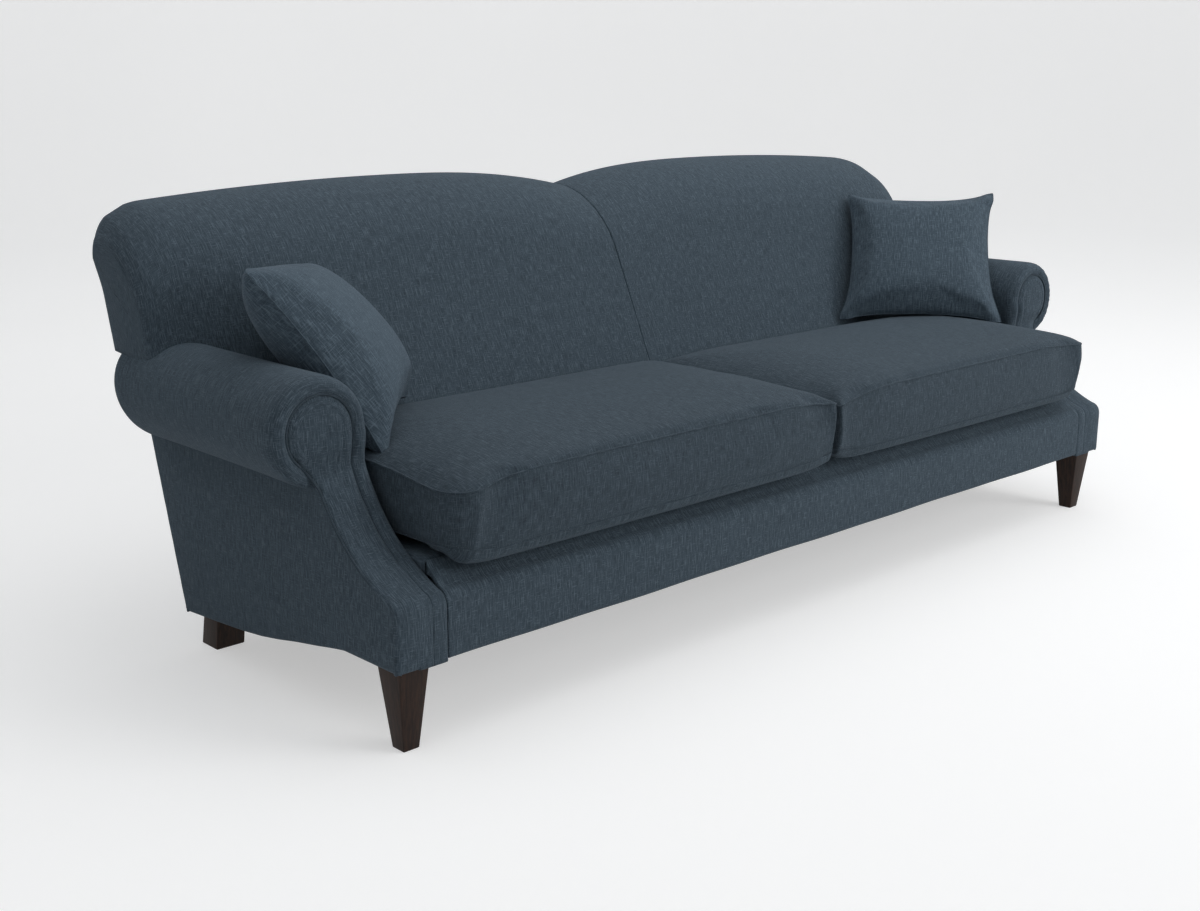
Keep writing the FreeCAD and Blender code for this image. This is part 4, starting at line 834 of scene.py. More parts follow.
def build_arm_pad(side, name):
    """The roll, its gathered front ring and the padded inner side, as one cover."""
    arms = props()["arms"]
    c, zc, radius = arms.roll_x, arms.roll_z, arms.roll_radius
    # Across the arm's section: up the inner side, over the roll and down to its underside.
    low_runs = np.linspace(0, float(run_of_height(zc)), 46)[:-1]
    angles = np.radians(np.concatenate([np.linspace(180, 0, 73), np.linspace(-3, -86, 30)]))
    rows = []
    inset_front = np.array([36, 35, 33, 30, 26, 21, 16, 11, 7, 4, 1.8, 0.6, 0.1, 0]) / 1000
    ahead_front = np.array([-12, -6, -1.5, 2.2, 4.8, 6.2, 6.0, 3.8, 0, -5, -11, -18, -26, -36]) / 1000
    inset_flush = np.array([36, 34, 31, 27, 23, 19, 15, 11, 8, 5, 2.8, 1.1, 0.3, 0]) / 1000
    ahead_flush = np.array([-7, -0.5, 0.2, 0.5, 0.7, 0.8, 0.8, 0.7, 0.5, 0.2, -0.4, -1.4, -3.0, -6]) / 1000
    middle_share = np.linspace(0, 1, 30)[1:]
    turn = np.linspace(0, math.pi / 2, 9)[1:]
    inset_rear = np.concatenate([0.042 * (1 - np.cos(turn)), [0.062, 0.082, 0.0996]])
    back_rear = np.concatenate([0.042 * (1 - np.sin(turn)), [-0.002, -0.003, -0.0035]])
    setback = 0.042
    rng = np.random.default_rng(5 if side > 0 else 6)
    for run in low_runs:
        y, z, ny, nz = [float(v) for v in line_at(run)]
        share = run / low_runs[-1]
        lift = float(smooth_step((z - 0.47) / 0.07))
        surface_x = 1.0402 - 0.0032 * lift
        low = 0.332 + (zc - 0.332) * share
        points = []
        flush = 1.0 - float(smooth_step((z - 0.290) / 0.085))
        insets = inset_front * (1 - flush) + inset_flush * flush
        aheads = ahead_front * (0.55 + 0.45 * lift) * (1 - flush) + ahead_flush * flush
        for inset, soft in zip(insets, aheads):
            points.append((surface_x + inset * 0.94, y + ny * soft, z + nz * soft))
        fy, fz = points[-1][1], points[-1][2]
        end_z = max(low, z if z > 0.33 else low)
        for t in middle_share:
            zz = fz + (end_z - fz) * t
            yy = fy + (rear_y(end_z, setback) - 0.042 - fy) * t
            bulge = 0.0045 * math.sin(math.pi * min(1.0, t * 1.25)) * float(smooth_step((zz - 0.46) / 0.05))
            points.append((surface_x - bulge, yy, zz))
        for inset, forward in zip(inset_rear, back_rear):
            points.append((surface_x + min(inset, c - 1.0402 - 0.0001), rear_y(end_z, setback) - forward, end_z))
        rows.append(points)
    for angle in angles:
        dx, dz = math.cos(angle), math.sin(angle)
        under = float(smooth_step((-math.degrees(angle) - 42) / 30)) if angle < 0 else 0.0
        gather = 0.0003 * math.sin(angle * 31 + 2.3 * math.sin(angle * 5)) + 0.00012 * rng.normal()
        points = []
        for k, (inset, ahead) in enumerate(zip(inset_front, ahead_front)):
            wave = gather * math.sin(math.pi * min(1.0, k / 12))
            reach = radius - inset * (1 - 0.25 * under) + wave
            forward = (ahead + wave) * (1 - 0.8 * under) - 0.004 * under
            points.append((c + dx * reach, -0.2400 - forward, zc + dz * reach))
        fy = points[-1][1]
        z_here = zc + dz * radius
        for t in middle_share:
            sag = 0.0012 * math.sin(math.pi * t)
            yy = fy + (rear_y(z_here, setback) - 0.042 - fy) * t
            points.append((c + dx * (radius - sag), yy, zc + dz * (radius - sag)))
        for inset, forward in zip(inset_rear, back_rear):
            reach = radius - inset
            zz = zc + dz * reach
            points.append((c + dx * reach, rear_y(zz, setback) - forward, zz))
        rows.append(points)
    outer = np.array(rows)
    # The lining behind the cover closes the pad into a solid piece.
    shrink = outer.copy()
    count = len(low_runs)
    shrink[:count, :, 0] = np.minimum(outer[:count, :, 0] + 0.030, c)
    centre = np.stack([np.full(len(angles), c), np.full(len(angles), zc)], axis=-1)
    for k in range(outer.shape[1]):
        away = outer[count:, k][:, [0, 2]] - centre
        size = np.linalg.norm(away, axis=1, keepdims=True)
        scaled = centre + away * np.maximum(size - 0.030, 0.0004) / np.maximum(size, 1e-6)
        shrink[count:, k, 0] = scaled[:, 0]
        shrink[count:, k, 2] = scaled[:, 1]
    shrink[:, -1] = outer[:, -1]
    back = shrink
    weave = run_map(outer)
    sheets = [(outer, weave), (back, weave)] + border(outer, back)
    piece = skin("arm_cover_" + name, sheets, MATERIALS["upholstery_cloth"], mirror=side < 0, shift=0.37 * side)
    return ride(piece, "frame", "upholstery_cloth", "arm_pad_" + name)


def build_facing(side, name):
    """The padded keyhole facing and the piping round its disc and down its outer edge."""
    arms = props()["arms"]
    zc, radius = arms.roll_z, arms.disc_radius
    top_run = float(run_of_height(zc + radius - 1e-4))
    start_run = float(run_of_height(zc))
    lower = np.concatenate([[0, 0.001, 0.003, 0.006, 0.010], np.linspace(0.016, start_run, 62)])
    turn = np.linspace(0, math.pi / 2, 26)[1:]
    upper = start_run + (top_run - start_run) * np.sin(turn)
    runs = np.concatenate([lower, upper])
    y, z, ny, nz = line_at(runs)
    inner, outer = facing_edges(np.minimum(z, zc + radius - 1e-5), arms)
    share = np.concatenate([[0, 0.012, 0.035, 0.07, 0.12], np.linspace(0.18, 0.82, 15), [0.88, 0.93, 0.965, 0.988, 1]])
    x = inner[:, None] + (outer - inner)[:, None] * share[None, :]
    grid = np.stack([x, np.broadcast_to(runs[:, None], x.shape)], axis=-1)
    dense = np.linspace(0, top_run, 700)
    _, dz_, _, _ = line_at(dense)
    inner_d, outer_d = facing_edges(np.minimum(dz_, zc + radius - 1e-5), arms)
    bottom = np.linspace(inner_d[0], outer_d[0], 60)
    bow = np.radians(np.linspace(-50, 180, 900))
    outline = np.concatenate([
        np.stack([inner_d, dense], axis=-1),
        np.stack([outer_d, dense], axis=-1),
        np.stack([bottom, np.zeros(60)], axis=-1),
        np.stack([arms.roll_x + radius * np.cos(bow), start_run + radius * np.sin(bow)], axis=-1),
    ])
    away = nearest(grid, outline)
    away[0, :] = 0
    away[:, 0] = 0
    away[:, -1] = 0
    away[-1, :] = 0
    # Towards the block the band's inner seam closes up and lies flush.
    inner_side = ((x - inner[:, None]) < (outer[:, None] - x)) & ((x - inner[:, None]) < runs[:, None])
    closing = smooth_step((z - 0.285) / 0.08)[:, None]
    radius_here = np.where(inner_side, 0.0009 + 0.0050 * closing, 0.0075)
    height = edge_drop(np.minimum(away, radius_here), radius_here) + 0.0030 * smooth_step(away / 0.034)
    disc = smooth_step((z - 0.47) / 0.05)[:, None]
    height = height + 0.0015 * disc * smooth_step(away / 0.04)
    # Two soft folds run down the band beside its inner edge.
    for place, depth in ((0.012, 0.0006), (0.024, 0.0003)):
        fold = np.exp(-(((x - arms.band_inner) - place) / 0.0026) ** 2)
        fade = smooth_step((z - 0.27) / 0.04) * smooth_step((0.55 - z) / 0.05)
        height = height - depth * fold * fade[:, None]
    front = np.stack([x, y[:, None] + ny[:, None] * height, z[:, None] + nz[:, None] * height], axis=-1)
    drop = np.where(away > 0, -0.0125, height)
    rear = np.stack([x, y[:, None] + ny[:, None] * drop, z[:, None] + nz[:, None] * drop], axis=-1)
    weave = np.stack([x, np.broadcast_to(runs[:, None], x.shape)], axis=-1)
    sheets = [(front, weave), (rear, weave)]
    cloth = MATERIALS["upholstery_cloth"]
    piece = skin("arm_facing_cover_" + name, sheets, cloth, mirror=side < 0, shift=0.19 * side)
    ride(piece, "frame", "upholstery_cloth", "arm_facing_" + name)
    # Piping: from the disc's inner side over the top, round the outer side and down the band.
    cord = arms.piping / 2
    path = []
    for degrees in np.linspace(205, -50, 120):
        a = math.radians(degrees)
        reach = radius + cord * 0.55
        sink = 0.0042 * float(smooth_step((degrees - 150) / 50))
        path.append((arms.roll_x + reach * math.cos(a), -0.2415 + sink, zc + reach * math.sin(a)))
    down = np.linspace(zc - radius * math.sin(math.radians(50)), 0.292, 90)
    for zz in down[1:]:
        run = float(run_of_height(zz))
        fy, fz, my, mz = [float(v) for v in line_at(run)]
        _, edge = facing_edges(np.array([zz]), arms)
        fade = float(smooth_step((0.335 - zz) / 0.045))
        out = 0.0012 - 0.0060 * fade
        sink = -0.0036 - 0.0050 * fade
        path.append((float(edge[0]) + out, fy + my * sink, fz + mz * sink))
    path = np.array(path)
    path[:, 0] *= side
    cord_piece = seam_cord("arm_piping_cord_" + name, [path], cord, MATERIALS["piping_cloth"], 0.003, 10)
    ride(cord_piece, "frame", "piping_cloth", "arm_piping_" + name)
    return piece


def build_outside_arm(side, name):
    """The padded outside panel with its scalloped hem, under the roll."""
    arms = props()["arms"]
    columns = np.concatenate([[0, 0.004, 0.011, 0.02, 0.032], np.linspace(0.05, 0.96, 56), [0.98, 0.99, 0.996, 1]])
    levels = np.concatenate([[0, 0.006, 0.016, 0.03, 0.05], np.linspace(0.08, 1, 44)])
    top = 0.452
    y = np.zeros((len(levels), len(columns)))
    z = np.zeros_like(y)
    for i, level in enumerate(levels):
        zz = np.full(len(columns), 0.158 + (top - 0.158) * level)
        for _ in range(12):
            front = np.interp(zz, LINE_Z, LINE_Y)
            rear = rear_y(zz) - 0.001
            yy = front + (rear - front) * columns
            zz = hem_height(yy) + (top - hem_height(yy)) * level
        y[i], z[i] = yy, zz
    grid = np.stack([y, z], axis=-1)
    fine = np.linspace(0, len(grid[0]) - 1, 900)
    hem = np.stack([np.interp(fine, np.arange(len(grid[0])), grid[0][:, i]) for i in range(2)], axis=-1)
    tall = np.linspace(0, len(levels) - 1, 700)
    lead = np.stack([np.interp(tall, np.arange(len(levels)), grid[:, 0][:, i]) for i in range(2)], axis=-1)
    trail = np.stack([np.interp(tall, np.arange(len(levels)), grid[:, -1][:, i]) for i in range(2)], axis=-1)
    outline = np.concatenate([hem, lead, trail])
    away = nearest(grid, outline)
    away[0, :] = 0
    away[:, 0] = 0
    away[:, -1] = 0
    swell = 0.0025 * smooth_step(away / 0.09) * (1 - smooth_step((z - 0.36) / 0.07))
    x = arms.outer_x + edge_drop(away, 0.0085) + swell
    front = np.stack([x, y, z], axis=-1)
    rear = np.stack([np.where(away > 0, 1.1372, arms.outer_x - 0.0085), y, z], axis=-1)
    rear[-1, :, 0] = 1.1372
    weave = np.stack([y, z], axis=-1)
    sheets = [(front, weave), (rear, weave)]
    top_strip = np.stack([front[-1], rear[-1]])
    sheets.append((top_strip, run_map(top_strip)))
    # Behind the roll's rounded end the panel runs up to the wing of the back.
    high = np.linspace(0.446, 0.602, 10)[:, None]
    near = np.array([0.125, 0.10, 0.07, 0.04, 0.02, 0.0085, 0.005, 0.0025, 0.0008, 0.0])[None, :]
    cheek_y = rear_y(high) - 0.001 - near
    cheek_z = np.broadcast_to(high, cheek_y.shape)
    cheek_x = np.broadcast_to(arms.outer_x + edge_drop(near, 0.0085), cheek_y.shape)
    cheek = np.stack([cheek_x, cheek_y, cheek_z], axis=-1)
    lining = np.stack([np.full(cheek_y.shape, 1.1372), cheek_y, cheek_z], axis=-1)
    sheets += [(cheek, cheek[..., 1:]), (lining, cheek[..., 1:])] + border(cheek, lining)
    cloth = MATERIALS["upholstery_cloth"]
    piece = skin("outside_arm_cover_" + name, sheets, cloth, mirror=side < 0, shift=0.53 * side)
    return ride(piece, "frame", "upholstery_cloth", "outside_arm_" + name)


def build_leg(name, node, foot, head, height, x, y, shift):
    """A square tapered leg with eased edges and a chamfered foot."""
    work = bmesh.new()
    rings = []
    eased = 0.0022
    for z, share in ((0.0, 0.0), (0.0015, 0.01), (height * 0.5, 0.5), (height, 1.0)):
        w = foot[0] + (head[0] - foot[0]) * share
        d = foot[1] + (head[1] - foot[1]) * share
        if z == 0.0:
            w -= 0.003
            d -= 0.003
        cx, cy = x, y + shift * share
        ring = []
        for sx, sy in ((-1, -1), (1, -1), (1, 1), (-1, 1)):
            for k in range(4):
                a = math.radians(k * 30)
                turn = {(-1, -1): math.pi, (1, -1): 1.5 * math.pi, (1, 1): 0.0, (-1, 1): 0.5 * math.pi}[(sx, sy)]
                px = cx + sx * (w / 2 - eased) + eased * math.cos(turn + a)
                py = cy + sy * (d / 2 - eased) + eased * math.sin(turn + a)
                ring.append(work.verts.new((px, py, z)))
        rings.append(ring)
    for low, high in zip(rings, rings[1:]):
        for k in range(len(low)):
            work.faces.new((low[k], low[(k + 1) % len(low)], high[(k + 1) % len(low)], high[k]))
    work.faces.new(rings[0][::-1])
    work.faces.new(rings[-1])
    bmesh.ops.recalc_face_normals(work, faces=work.faces)
    mesh = bpy.data.meshes.new(name)
    work.to_mesh(mesh)
    work.free()
    mesh.materials.append(MATERIALS["leg_wood"])
    mesh.shade_smooth()
    mesh.set_sharp_from_angle(angle=math.radians(32))
    piece = bpy.data.objects.new(name, mesh)
    bpy.context.scene.collection.objects.link(piece)
    return ride(piece, "frame", "leg_wood", node)


def build_front_rail():
    """The cover over the front rail, softly rolled back to the deck."""
    side_x = 1.0393
    profile = [(-0.436, 0.1625), (-0.452, 0.1600), (-0.4605, 0.1615), (-0.4640, 0.1665)]
    profile += [(FRONT_Y - 0.0010 * math.sin(math.pi * t), 0.1665 + 0.0915 * t) for t in np.linspace(0, 1, 12)[1:]]
    profile += [tuple(p) for p in arc_points((-0.4636, 0.264), (-0.457, 0.2785), (-0.443, 0.2875), 12)]
    profile += [tuple(p) for p in arc_points((-0.440, 0.2895), (-0.421, 0.3070), (-0.403, 0.3265), 8)]
    profile += [(-0.4015, 0.3255), (-0.4015, 0.300)]
    profile = np.array(profile)
    ends = np.array([0, 0.0003, 0.0008, 0.0016, 0.0028])
    x = np.concatenate([-side_x + ends, np.linspace(-side_x + 0.012, side_x - 0.012, 120), side_x - ends[::-1]])
    away = side_x - np.abs(x)
    tuck = edge_drop(away, 0.0028)
    ripple = 0.0006 * np.sin(x * 9.1 + 0.7) + 0.0004 * np.sin(x * 23.0 + 2.0)
    rows = np.zeros((len(profile), len(x), 3))
    tangent = np.gradient(profile, axis=0)
    normal = np.stack([-tangent[:, 1], tangent[:, 0]], axis=-1)
    normal /= np.linalg.norm(normal, axis=1, keepdims=True)
    for j in range(len(x)):
        push = tuck[j] + ripple[j]
        rows[:, j, 0] = x[j]
        rows[:, j, 1] = profile[:, 0] + normal[:, 0] * push
        rows[:, j, 2] = profile[:, 1] + normal[:, 1] * push
    back = rows.copy()
    back[:, :, 1] = np.minimum(profile[:, 0] + 0.012, -0.4015)[:, None]
    back[:, :, 2] = np.minimum(profile[:, 1], 0.300)[:, None]
    back[0] = rows[0]
    back[-1] = rows[-1]
    steps = np.linalg.norm(np.diff(profile, axis=0), axis=1)
    v = np.concatenate([[0], np.cumsum(steps)])
    weave = np.stack([np.broadcast_to(x, (len(v), len(x))), np.broadcast_to(v[:, None], (len(v), len(x)))], axis=-1)
    sheets = [(rows, weave), (back, weave)] + border(rows, back)
    piece = skin("front_rail_cover_cloth", sheets, MATERIALS["upholstery_cloth"], shift=0.11)
    return ride(piece, "frame", "upholstery_cloth", "front_rail_cover")


def back_top(x):
    """Height of the double-hump outline over a point across the back."""
    back = props()["back"]
    away = np.abs(x)
    dip = back.notch * np.clip((back.peak_x - away) / back.peak_x, 0, 1) ** 2.7
    slope = 0.032 * (np.clip(away - back.peak_x, 0, None) / (back.half_width - back.peak_x)) ** 2
    turn = np.clip((away - (back.half_width - 0.110)) / 0.110, 0, 1)
    shoulder = 0.070 * (1 - np.sqrt(np.clip(1 - turn * turn, 0, 1)))
    return back.peak - dip - slope - shoulder


def back_profile(x, low, count_face, count_top, count_heel, count_rear):
    """Points (y, z) and outward directions round the back at a place across it."""
    w = float(smooth_step((abs(x) - 0.960) / 0.250))
    top = float(back_top(x))
    lean = math.radians((1 - w) * 24.5 + w * 13.0)
    low_y = (1 - w) * 0.152 + w * 0.219 + (low - 0.610) * math.tan(lean)
    rear_z = top - 0.070
    rear_high = rear_y(rear_z)
    crest = rear_high - 0.043
    chord = math.tan((lean + math.pi / 2) / 2)
    slope = math.tan(lean)
    high = (low_y - slope * low + chord * top - crest) / (chord - slope)
    high_y = low_y + (high - low) * slope
    radius = (top - high) / (1 - math.sin(lean))
    centre_y = high_y + radius * math.cos(lean)
    centre_z = high - radius * math.sin(lean)
    points = []
    outs = []
    for t in np.linspace(0, 1, count_face, endpoint=False):
        points.append((low_y + (high_y - low_y) * t, low + (high - low) * t))
        outs.append((-math.cos(lean), math.sin(lean)))
    for angle in np.linspace(lean, math.pi / 2, count_top, endpoint=False):
        points.append((centre_y - radius * math.cos(angle), centre_z + radius * math.sin(angle)))
        outs.append((-math.cos(angle), math.sin(angle)))
    for angle in np.linspace(0, math.pi / 2, count_heel, endpoint=False):
        points.append((crest + 0.043 * math.sin(angle), top - 0.070 + 0.070 * math.cos(angle)))
        outs.append((math.sin(angle), math.cos(angle)))
    for t in np.linspace(0, 1, count_rear):
        zz = rear_z + (low - rear_z) * t
        points.append((rear_y(zz), zz))
        outs.append((math.cos(math.radians(15.64)), -math.sin(math.radians(15.64))))
    outs = np.array(outs)
    outs /= np.linalg.norm(outs, axis=1, keepdims=True)
    return np.array(points), outs


def build_back(side, name):
    """One hump of the tight back: straight raked face, broad round top and a borderless end."""
    back = props()["back"]
    counts = (26, 20, 10, 16)
    total = sum(counts)
    inner = 0.0006
    end = back.half_width
    spread = np.concatenate([
        inner + np.array([0, 0.0004, 0.001, 0.002, 0.0035, 0.006]),
        np.linspace(0.018, 1.030, 70),
        [1.037],
        np.linspace(1.045, end - 0.075, 14),
    ])
    rounds = np.linspace(0, math.pi / 2, 15)[1:]
    low = back.wing_bottom
    face_end = counts[0] + counts[1]
    # The front edge of the end is rounded tightly and the rear edge broadly.
    place = np.arange(total)
    mix = smooth_step((place - (face_end - 6)) / 14.0)
    radius = back.end_round + (back.rear_round - back.end_round) * mix
    heel = smooth_step((place - (face_end - 4)) / 8.0) * (1 - smooth_step((place - (face_end + 8)) / 8.0))
    radius = radius - (radius - 0.034) * heel
    rows = []
    for x in spread:
        points, outs = back_profile(x, low, *counts)
        fade = np.where(place < counts[0], 0.35 + 0.65 * place / counts[0], 1.0)
        tuck = edge_drop(np.full(total, x - inner), 0.0035) * fade
        yz = points + outs * tuck[:, None]
        rows.append(np.column_stack([np.full(total, x), yz[:, 0], yz[:, 1]]))
    for angle in rounds:
        row = []
        for k in range(total):
            r = radius[k]
            x = end - 0.0025 - r + r * math.sin(angle)
            points, outs = back_profile(min(x, end - 0.012), low, *counts)
            tuck = -r * (1 - math.cos(angle))
            row.append((x, points[k, 0] + outs[k, 0] * tuck, points[k, 1] + outs[k, 1] * tuck))
        rows.append(np.array(row))
    # The end itself swells slightly and closes on its middle line.
    rim = np.array(rows[-1])
    middle = (rim + rim[::-1]) / 2
    for share in (0.25, 0.5, 0.75, 1.0):
        ring = rim + (middle - rim) * share
        ring[:, 0] = end - 0.0025 + 0.0025 * math.sin(share * math.pi / 2)
        rows.append(ring)
    outer = np.array(rows)
    steps = np.linalg.norm(np.diff(outer[40][:, 1:], axis=0), axis=1)
    v = np.concatenate([[0], np.cumsum(steps)])
    u = np.zeros(outer.shape[:2])
    run = np.linalg.norm(np.diff(outer, axis=0), axis=2)
    u[1:] = np.cumsum(run, axis=0)
    u = u - u[40:41, :] + outer[40, 0, 0]
    weave = np.stack([u, np.broadcast_to(v, u.shape)], axis=-1)
    sheets = [(outer, weave)]
    # Below the arms' level the face runs down behind the seat.
    stations = [k for k, x in enumerate(spread) if x <= 1.0371]
    last = stations[-1]
    face_low = []
    for k in stations:
        x = spread[k]
        w = float(smooth_step((abs(x) - 0.960) / 0.250))
        lean = math.radians((1 - w) * 24.5 + w * 13.0)
        first = outer[k, 0]
        last_point = outer[k, -1]
        line = []
        for t in np.linspace(0, 1, 20):
            zz = low + (0.329 - low) * t
            line.append((x, first[1] + (zz - low) * math.tan(lean), zz))
        for t in np.linspace(0, 1, 8)[1:]:
            yy = line[19][1] + (rear_y(0.329) - line[19][1]) * t
            line.append((x, yy, 0.329))
        for t in np.linspace(0, 1, 14)[1:]:
            zz = 0.329 + (low - 0.329) * t
            line.append((x, rear_y(zz) + (last_point[1] - rear_y(low)) * t, zz))
        face_low.append(line)
    face_low = np.array(face_low)
    lw = np.zeros(face_low.shape[:2] + (2,))
    lw[:, :, 0] = u[stations, 0][:, None]
    lw[:, :, 1] = -np.concatenate([[0], np.cumsum(np.linalg.norm(np.diff(face_low[20][:, 1:], axis=0), axis=1))])[None, :]
    sheets.append((face_low, lw))
    # Under the wing, from the arm's inner side out to the end.
    under = []
    for k in range(last, outer.shape[0]):
        a, b = outer[k, 0], outer[k, -1]
        under.append([a + (b - a) * t for t in np.linspace(0, 1, 8)])
    under = np.array(under)
    sheets.append((under, flat_map(under, (1, 0, 0), (0, 1, 0))))
    # Cheek between the lower face and the arm, and the crease side at the sofa's middle.
    cheek = face_low[-1]
    fold = np.array([cheek, np.linspace(cheek[0], cheek[-1], len(cheek))])
    sheets.append((fold, flat_map(fold, (0, 1, 0), (0, 0, 1))))
    crease_low = np.array([face_low[0], np.linspace(face_low[0][0], face_low[0][-1], face_low.shape[1])])
    sheets.append((crease_low, flat_map(crease_low, (0, 1, 0), (0, 0, 1))))
    crease_high = np.array([outer[0], np.linspace(outer[0][0], outer[0][-1], total)])
    sheets.append((crease_high, flat_map(crease_high, (0, 1, 0), (0, 0, 1))))
    cloth = MATERIALS["upholstery_cloth"]
    piece = skin("back_cover_" + name, sheets, cloth, mirror=side < 0, shift=0.71 * side)
    return ride(piece, "frame", "upholstery_cloth", "back_pad_" + name)


def build_outside_back():
    """The panel over the raked rear, its edges blind-sewn and softly rounded."""
    rows = []
    x = np.concatenate([[-1.149, -1.1485, -1.147, -1.144, -1.140], np.linspace(-1.13, 1.13, 150),
                        [1.140, 1.144, 1.147, 1.1485, 1.149]])
    share = np.concatenate([[0, 0.001, 0.003, 0.006, 0.011], np.linspace(0.02, 0.98, 40), [0.99, 0.995, 0.998, 1]])
    top = back_top(x) - 0.071
    z = 0.0792 + (top[None, :] - 0.0792) * share[:, None]
    xx = np.broadcast_to(x, z.shape)
    fine = np.linspace(-1.149, 1.149, 1200)
    tall = np.linspace(0, 1, 500)
    edge_top = back_top(fine) - 0.071
    corner_top = float(back_top(np.array([1.149]))[0]) - 0.071
    outline = np.concatenate([
        np.stack([fine, edge_top], axis=-1),
        np.stack([fine, np.full(1200, 0.0792)], axis=-1),
        np.stack([np.full(500, -1.149), 0.0792 + (corner_top - 0.0792) * tall], axis=-1),
        np.stack([np.full(500, 1.149), 0.0792 + (corner_top - 0.0792) * tall], axis=-1),
    ])
    away = nearest(np.stack([xx, z], axis=-1), outline)
    away[0, :] = 0
    away[-1, :] = 0
    away[:, 0] = 0
    away[:, -1] = 0
    lift = edge_drop(away, 0.0075) + 0.0012 * smooth_step(away / 0.15)
    lift = lift + 0.0009 * np.sin(xx * 5.3 + 0.4) * smooth_step(away / 0.1)
    rear = rear_y(z) + lift
    front = np.where(away > 0, rear_y(z) - 0.0098, rear_y(z) - 0.0075)
    outer = np.stack([xx, rear, z], axis=-1)
    inner = np.stack([xx, front, z], axis=-1)
    weave = np.stack([xx, z / math.cos(math.radians(15.64))], axis=-1)
    piece = skin("outside_back_cover", [(outer, weave), (inner, weave)], MATERIALS["upholstery_cloth"], shift=0.23)
    return ride(piece, "frame", "upholstery_cloth", "outside_back")


def build_deck():
    """The padded platform under the cushions, with its crown and a cross seam behind the front edge."""
    x = np.concatenate([-1.0394 + np.array([0, 0.001, 0.004, 0.009]), np.linspace(-1.02, 1.02, 90),
                        1.0394 - np.array([0.009, 0.004, 0.001, 0])])
    y = np.concatenate([-0.4010 + np.array([0, 0.001, 0.004, 0.009]), np.linspace(-0.385, 0.265, 46),
                        0.2806 - np.array([0.009, 0.004, 0.001, 0])])
    gx, gy = np.meshgrid(x, y)
    away = np.minimum(1.0394 - np.abs(gx), np.minimum(gy + 0.4010, 0.2806 - gy))
    top = 0.3274 + edge_drop(away, 0.009)
    seam = np.exp(-((gy + 0.330) / 0.003) ** 2) * 0.0018
    top = top - seam
    outer = np.stack([gx, gy, top], axis=-1)
    low = np.stack([gx, gy, np.where(away > 0, 0.2806, 0.3184)], axis=-1)
    weave = np.stack([gx, gy], axis=-1)
    piece = skin("seat_deck_cover", [(outer, weave), (low, weave)], MATERIALS["upholstery_cloth"], shift=0.31)
    return ride(piece, "frame", "upholstery_cloth", "seat_deck")


def build_dust_cloth():
    """The thin black cloth stapled under the frame, sagging a little between its staples."""
    x = np.linspace(-1.0700, 1.0700, 130)
    y = np.linspace(-0.4460, 0.2800, 50)
    gx, gy = np.meshgrid(x, y)
    away = np.minimum(1.07 - np.abs(gx), np.minimum(gy + 0.446, 0.28 - gy))
    sag = 0.0005 * smooth_step(away / 0.10)
    z = 0.1623 - sag
    low = np.stack([gx, gy, z - 0.0006], axis=-1)
    high = np.stack([gx, gy, z], axis=-1)
    weave = np.stack([gx, gy], axis=-1)
    sheets = [(low, weave), (high, weave)] + border(low, high)
    piece = skin("dust_cloth_sheet", sheets, MATERIALS["dust_cloth"])
    return ride(piece, "frame", "dust_cloth", "dust_cloth_panel")


# Cushions and pillows.


def press(piece, pressure, cap, pinned=None, frames=20, stiff=15.0):
    """Cloth pressure from the filling swells the cover, and no point moves further than the cap."""
    mesh = piece.data
    start = np.empty(len(mesh.vertices) * 3)
    mesh.vertices.foreach_get("co", start)
    start = start.reshape(-1, 3)
    if pinned is not None:
        group = piece.vertex_groups.new(name="held")
        for index, weight in enumerate(pinned):
            if weight > 0:
                group.add([index], float(weight), "REPLACE")
    cloth = piece.modifiers.new("filling", "CLOTH")
    cloth.settings.quality = 5
    cloth.settings.mass = 0.3
    cloth.settings.tension_stiffness = stiff
    cloth.settings.compression_stiffness = stiff
    cloth.settings.shear_stiffness = 5.0
    cloth.settings.bending_stiffness = 0.6
    cloth.settings.use_pressure = True
    cloth.settings.uniform_pressure_force = pressure
    cloth.settings.effector_weights.gravity = 0.0
    if pinned is not None:
        cloth.settings.vertex_group_mass = "held"
    cloth.point_cache.frame_start = 1
    cloth.point_cache.frame_end = frames
    scene = bpy.context.scene
    for step in range(1, frames + 1):
        scene.frame_set(step)
    graph = bpy.context.evaluated_depsgraph_get()
    swollen = piece.evaluated_get(graph).to_mesh()
    end = np.empty(len(mesh.vertices) * 3)
    swollen.vertices.foreach_get("co", end)
    end = end.reshape(-1, 3)
    piece.evaluated_get(graph).to_mesh_clear()
    piece.modifiers.clear()
    if pinned is not None:
        piece.vertex_groups.clear()
    scene.frame_set(1)
    move = end - start
    far = np.linalg.norm(move, axis=1, keepdims=True)
    move = move / np.maximum(far, 1e-9) * (cap * np.tanh(far / cap))
    mesh.vertices.foreach_set("co", (start + move).ravel())
    mesh.update()
    return piece


def refine(piece, levels=1):
    """One smooth subdivision, applied."""
    finer = piece.modifiers.new("finer", "SUBSURF")
    finer.levels = levels
    finer.render_levels = levels
    finer.uv_smooth = "PRESERVE_BOUNDARIES"
    baked(piece)
    piece.data.shade_smooth()
    return piece


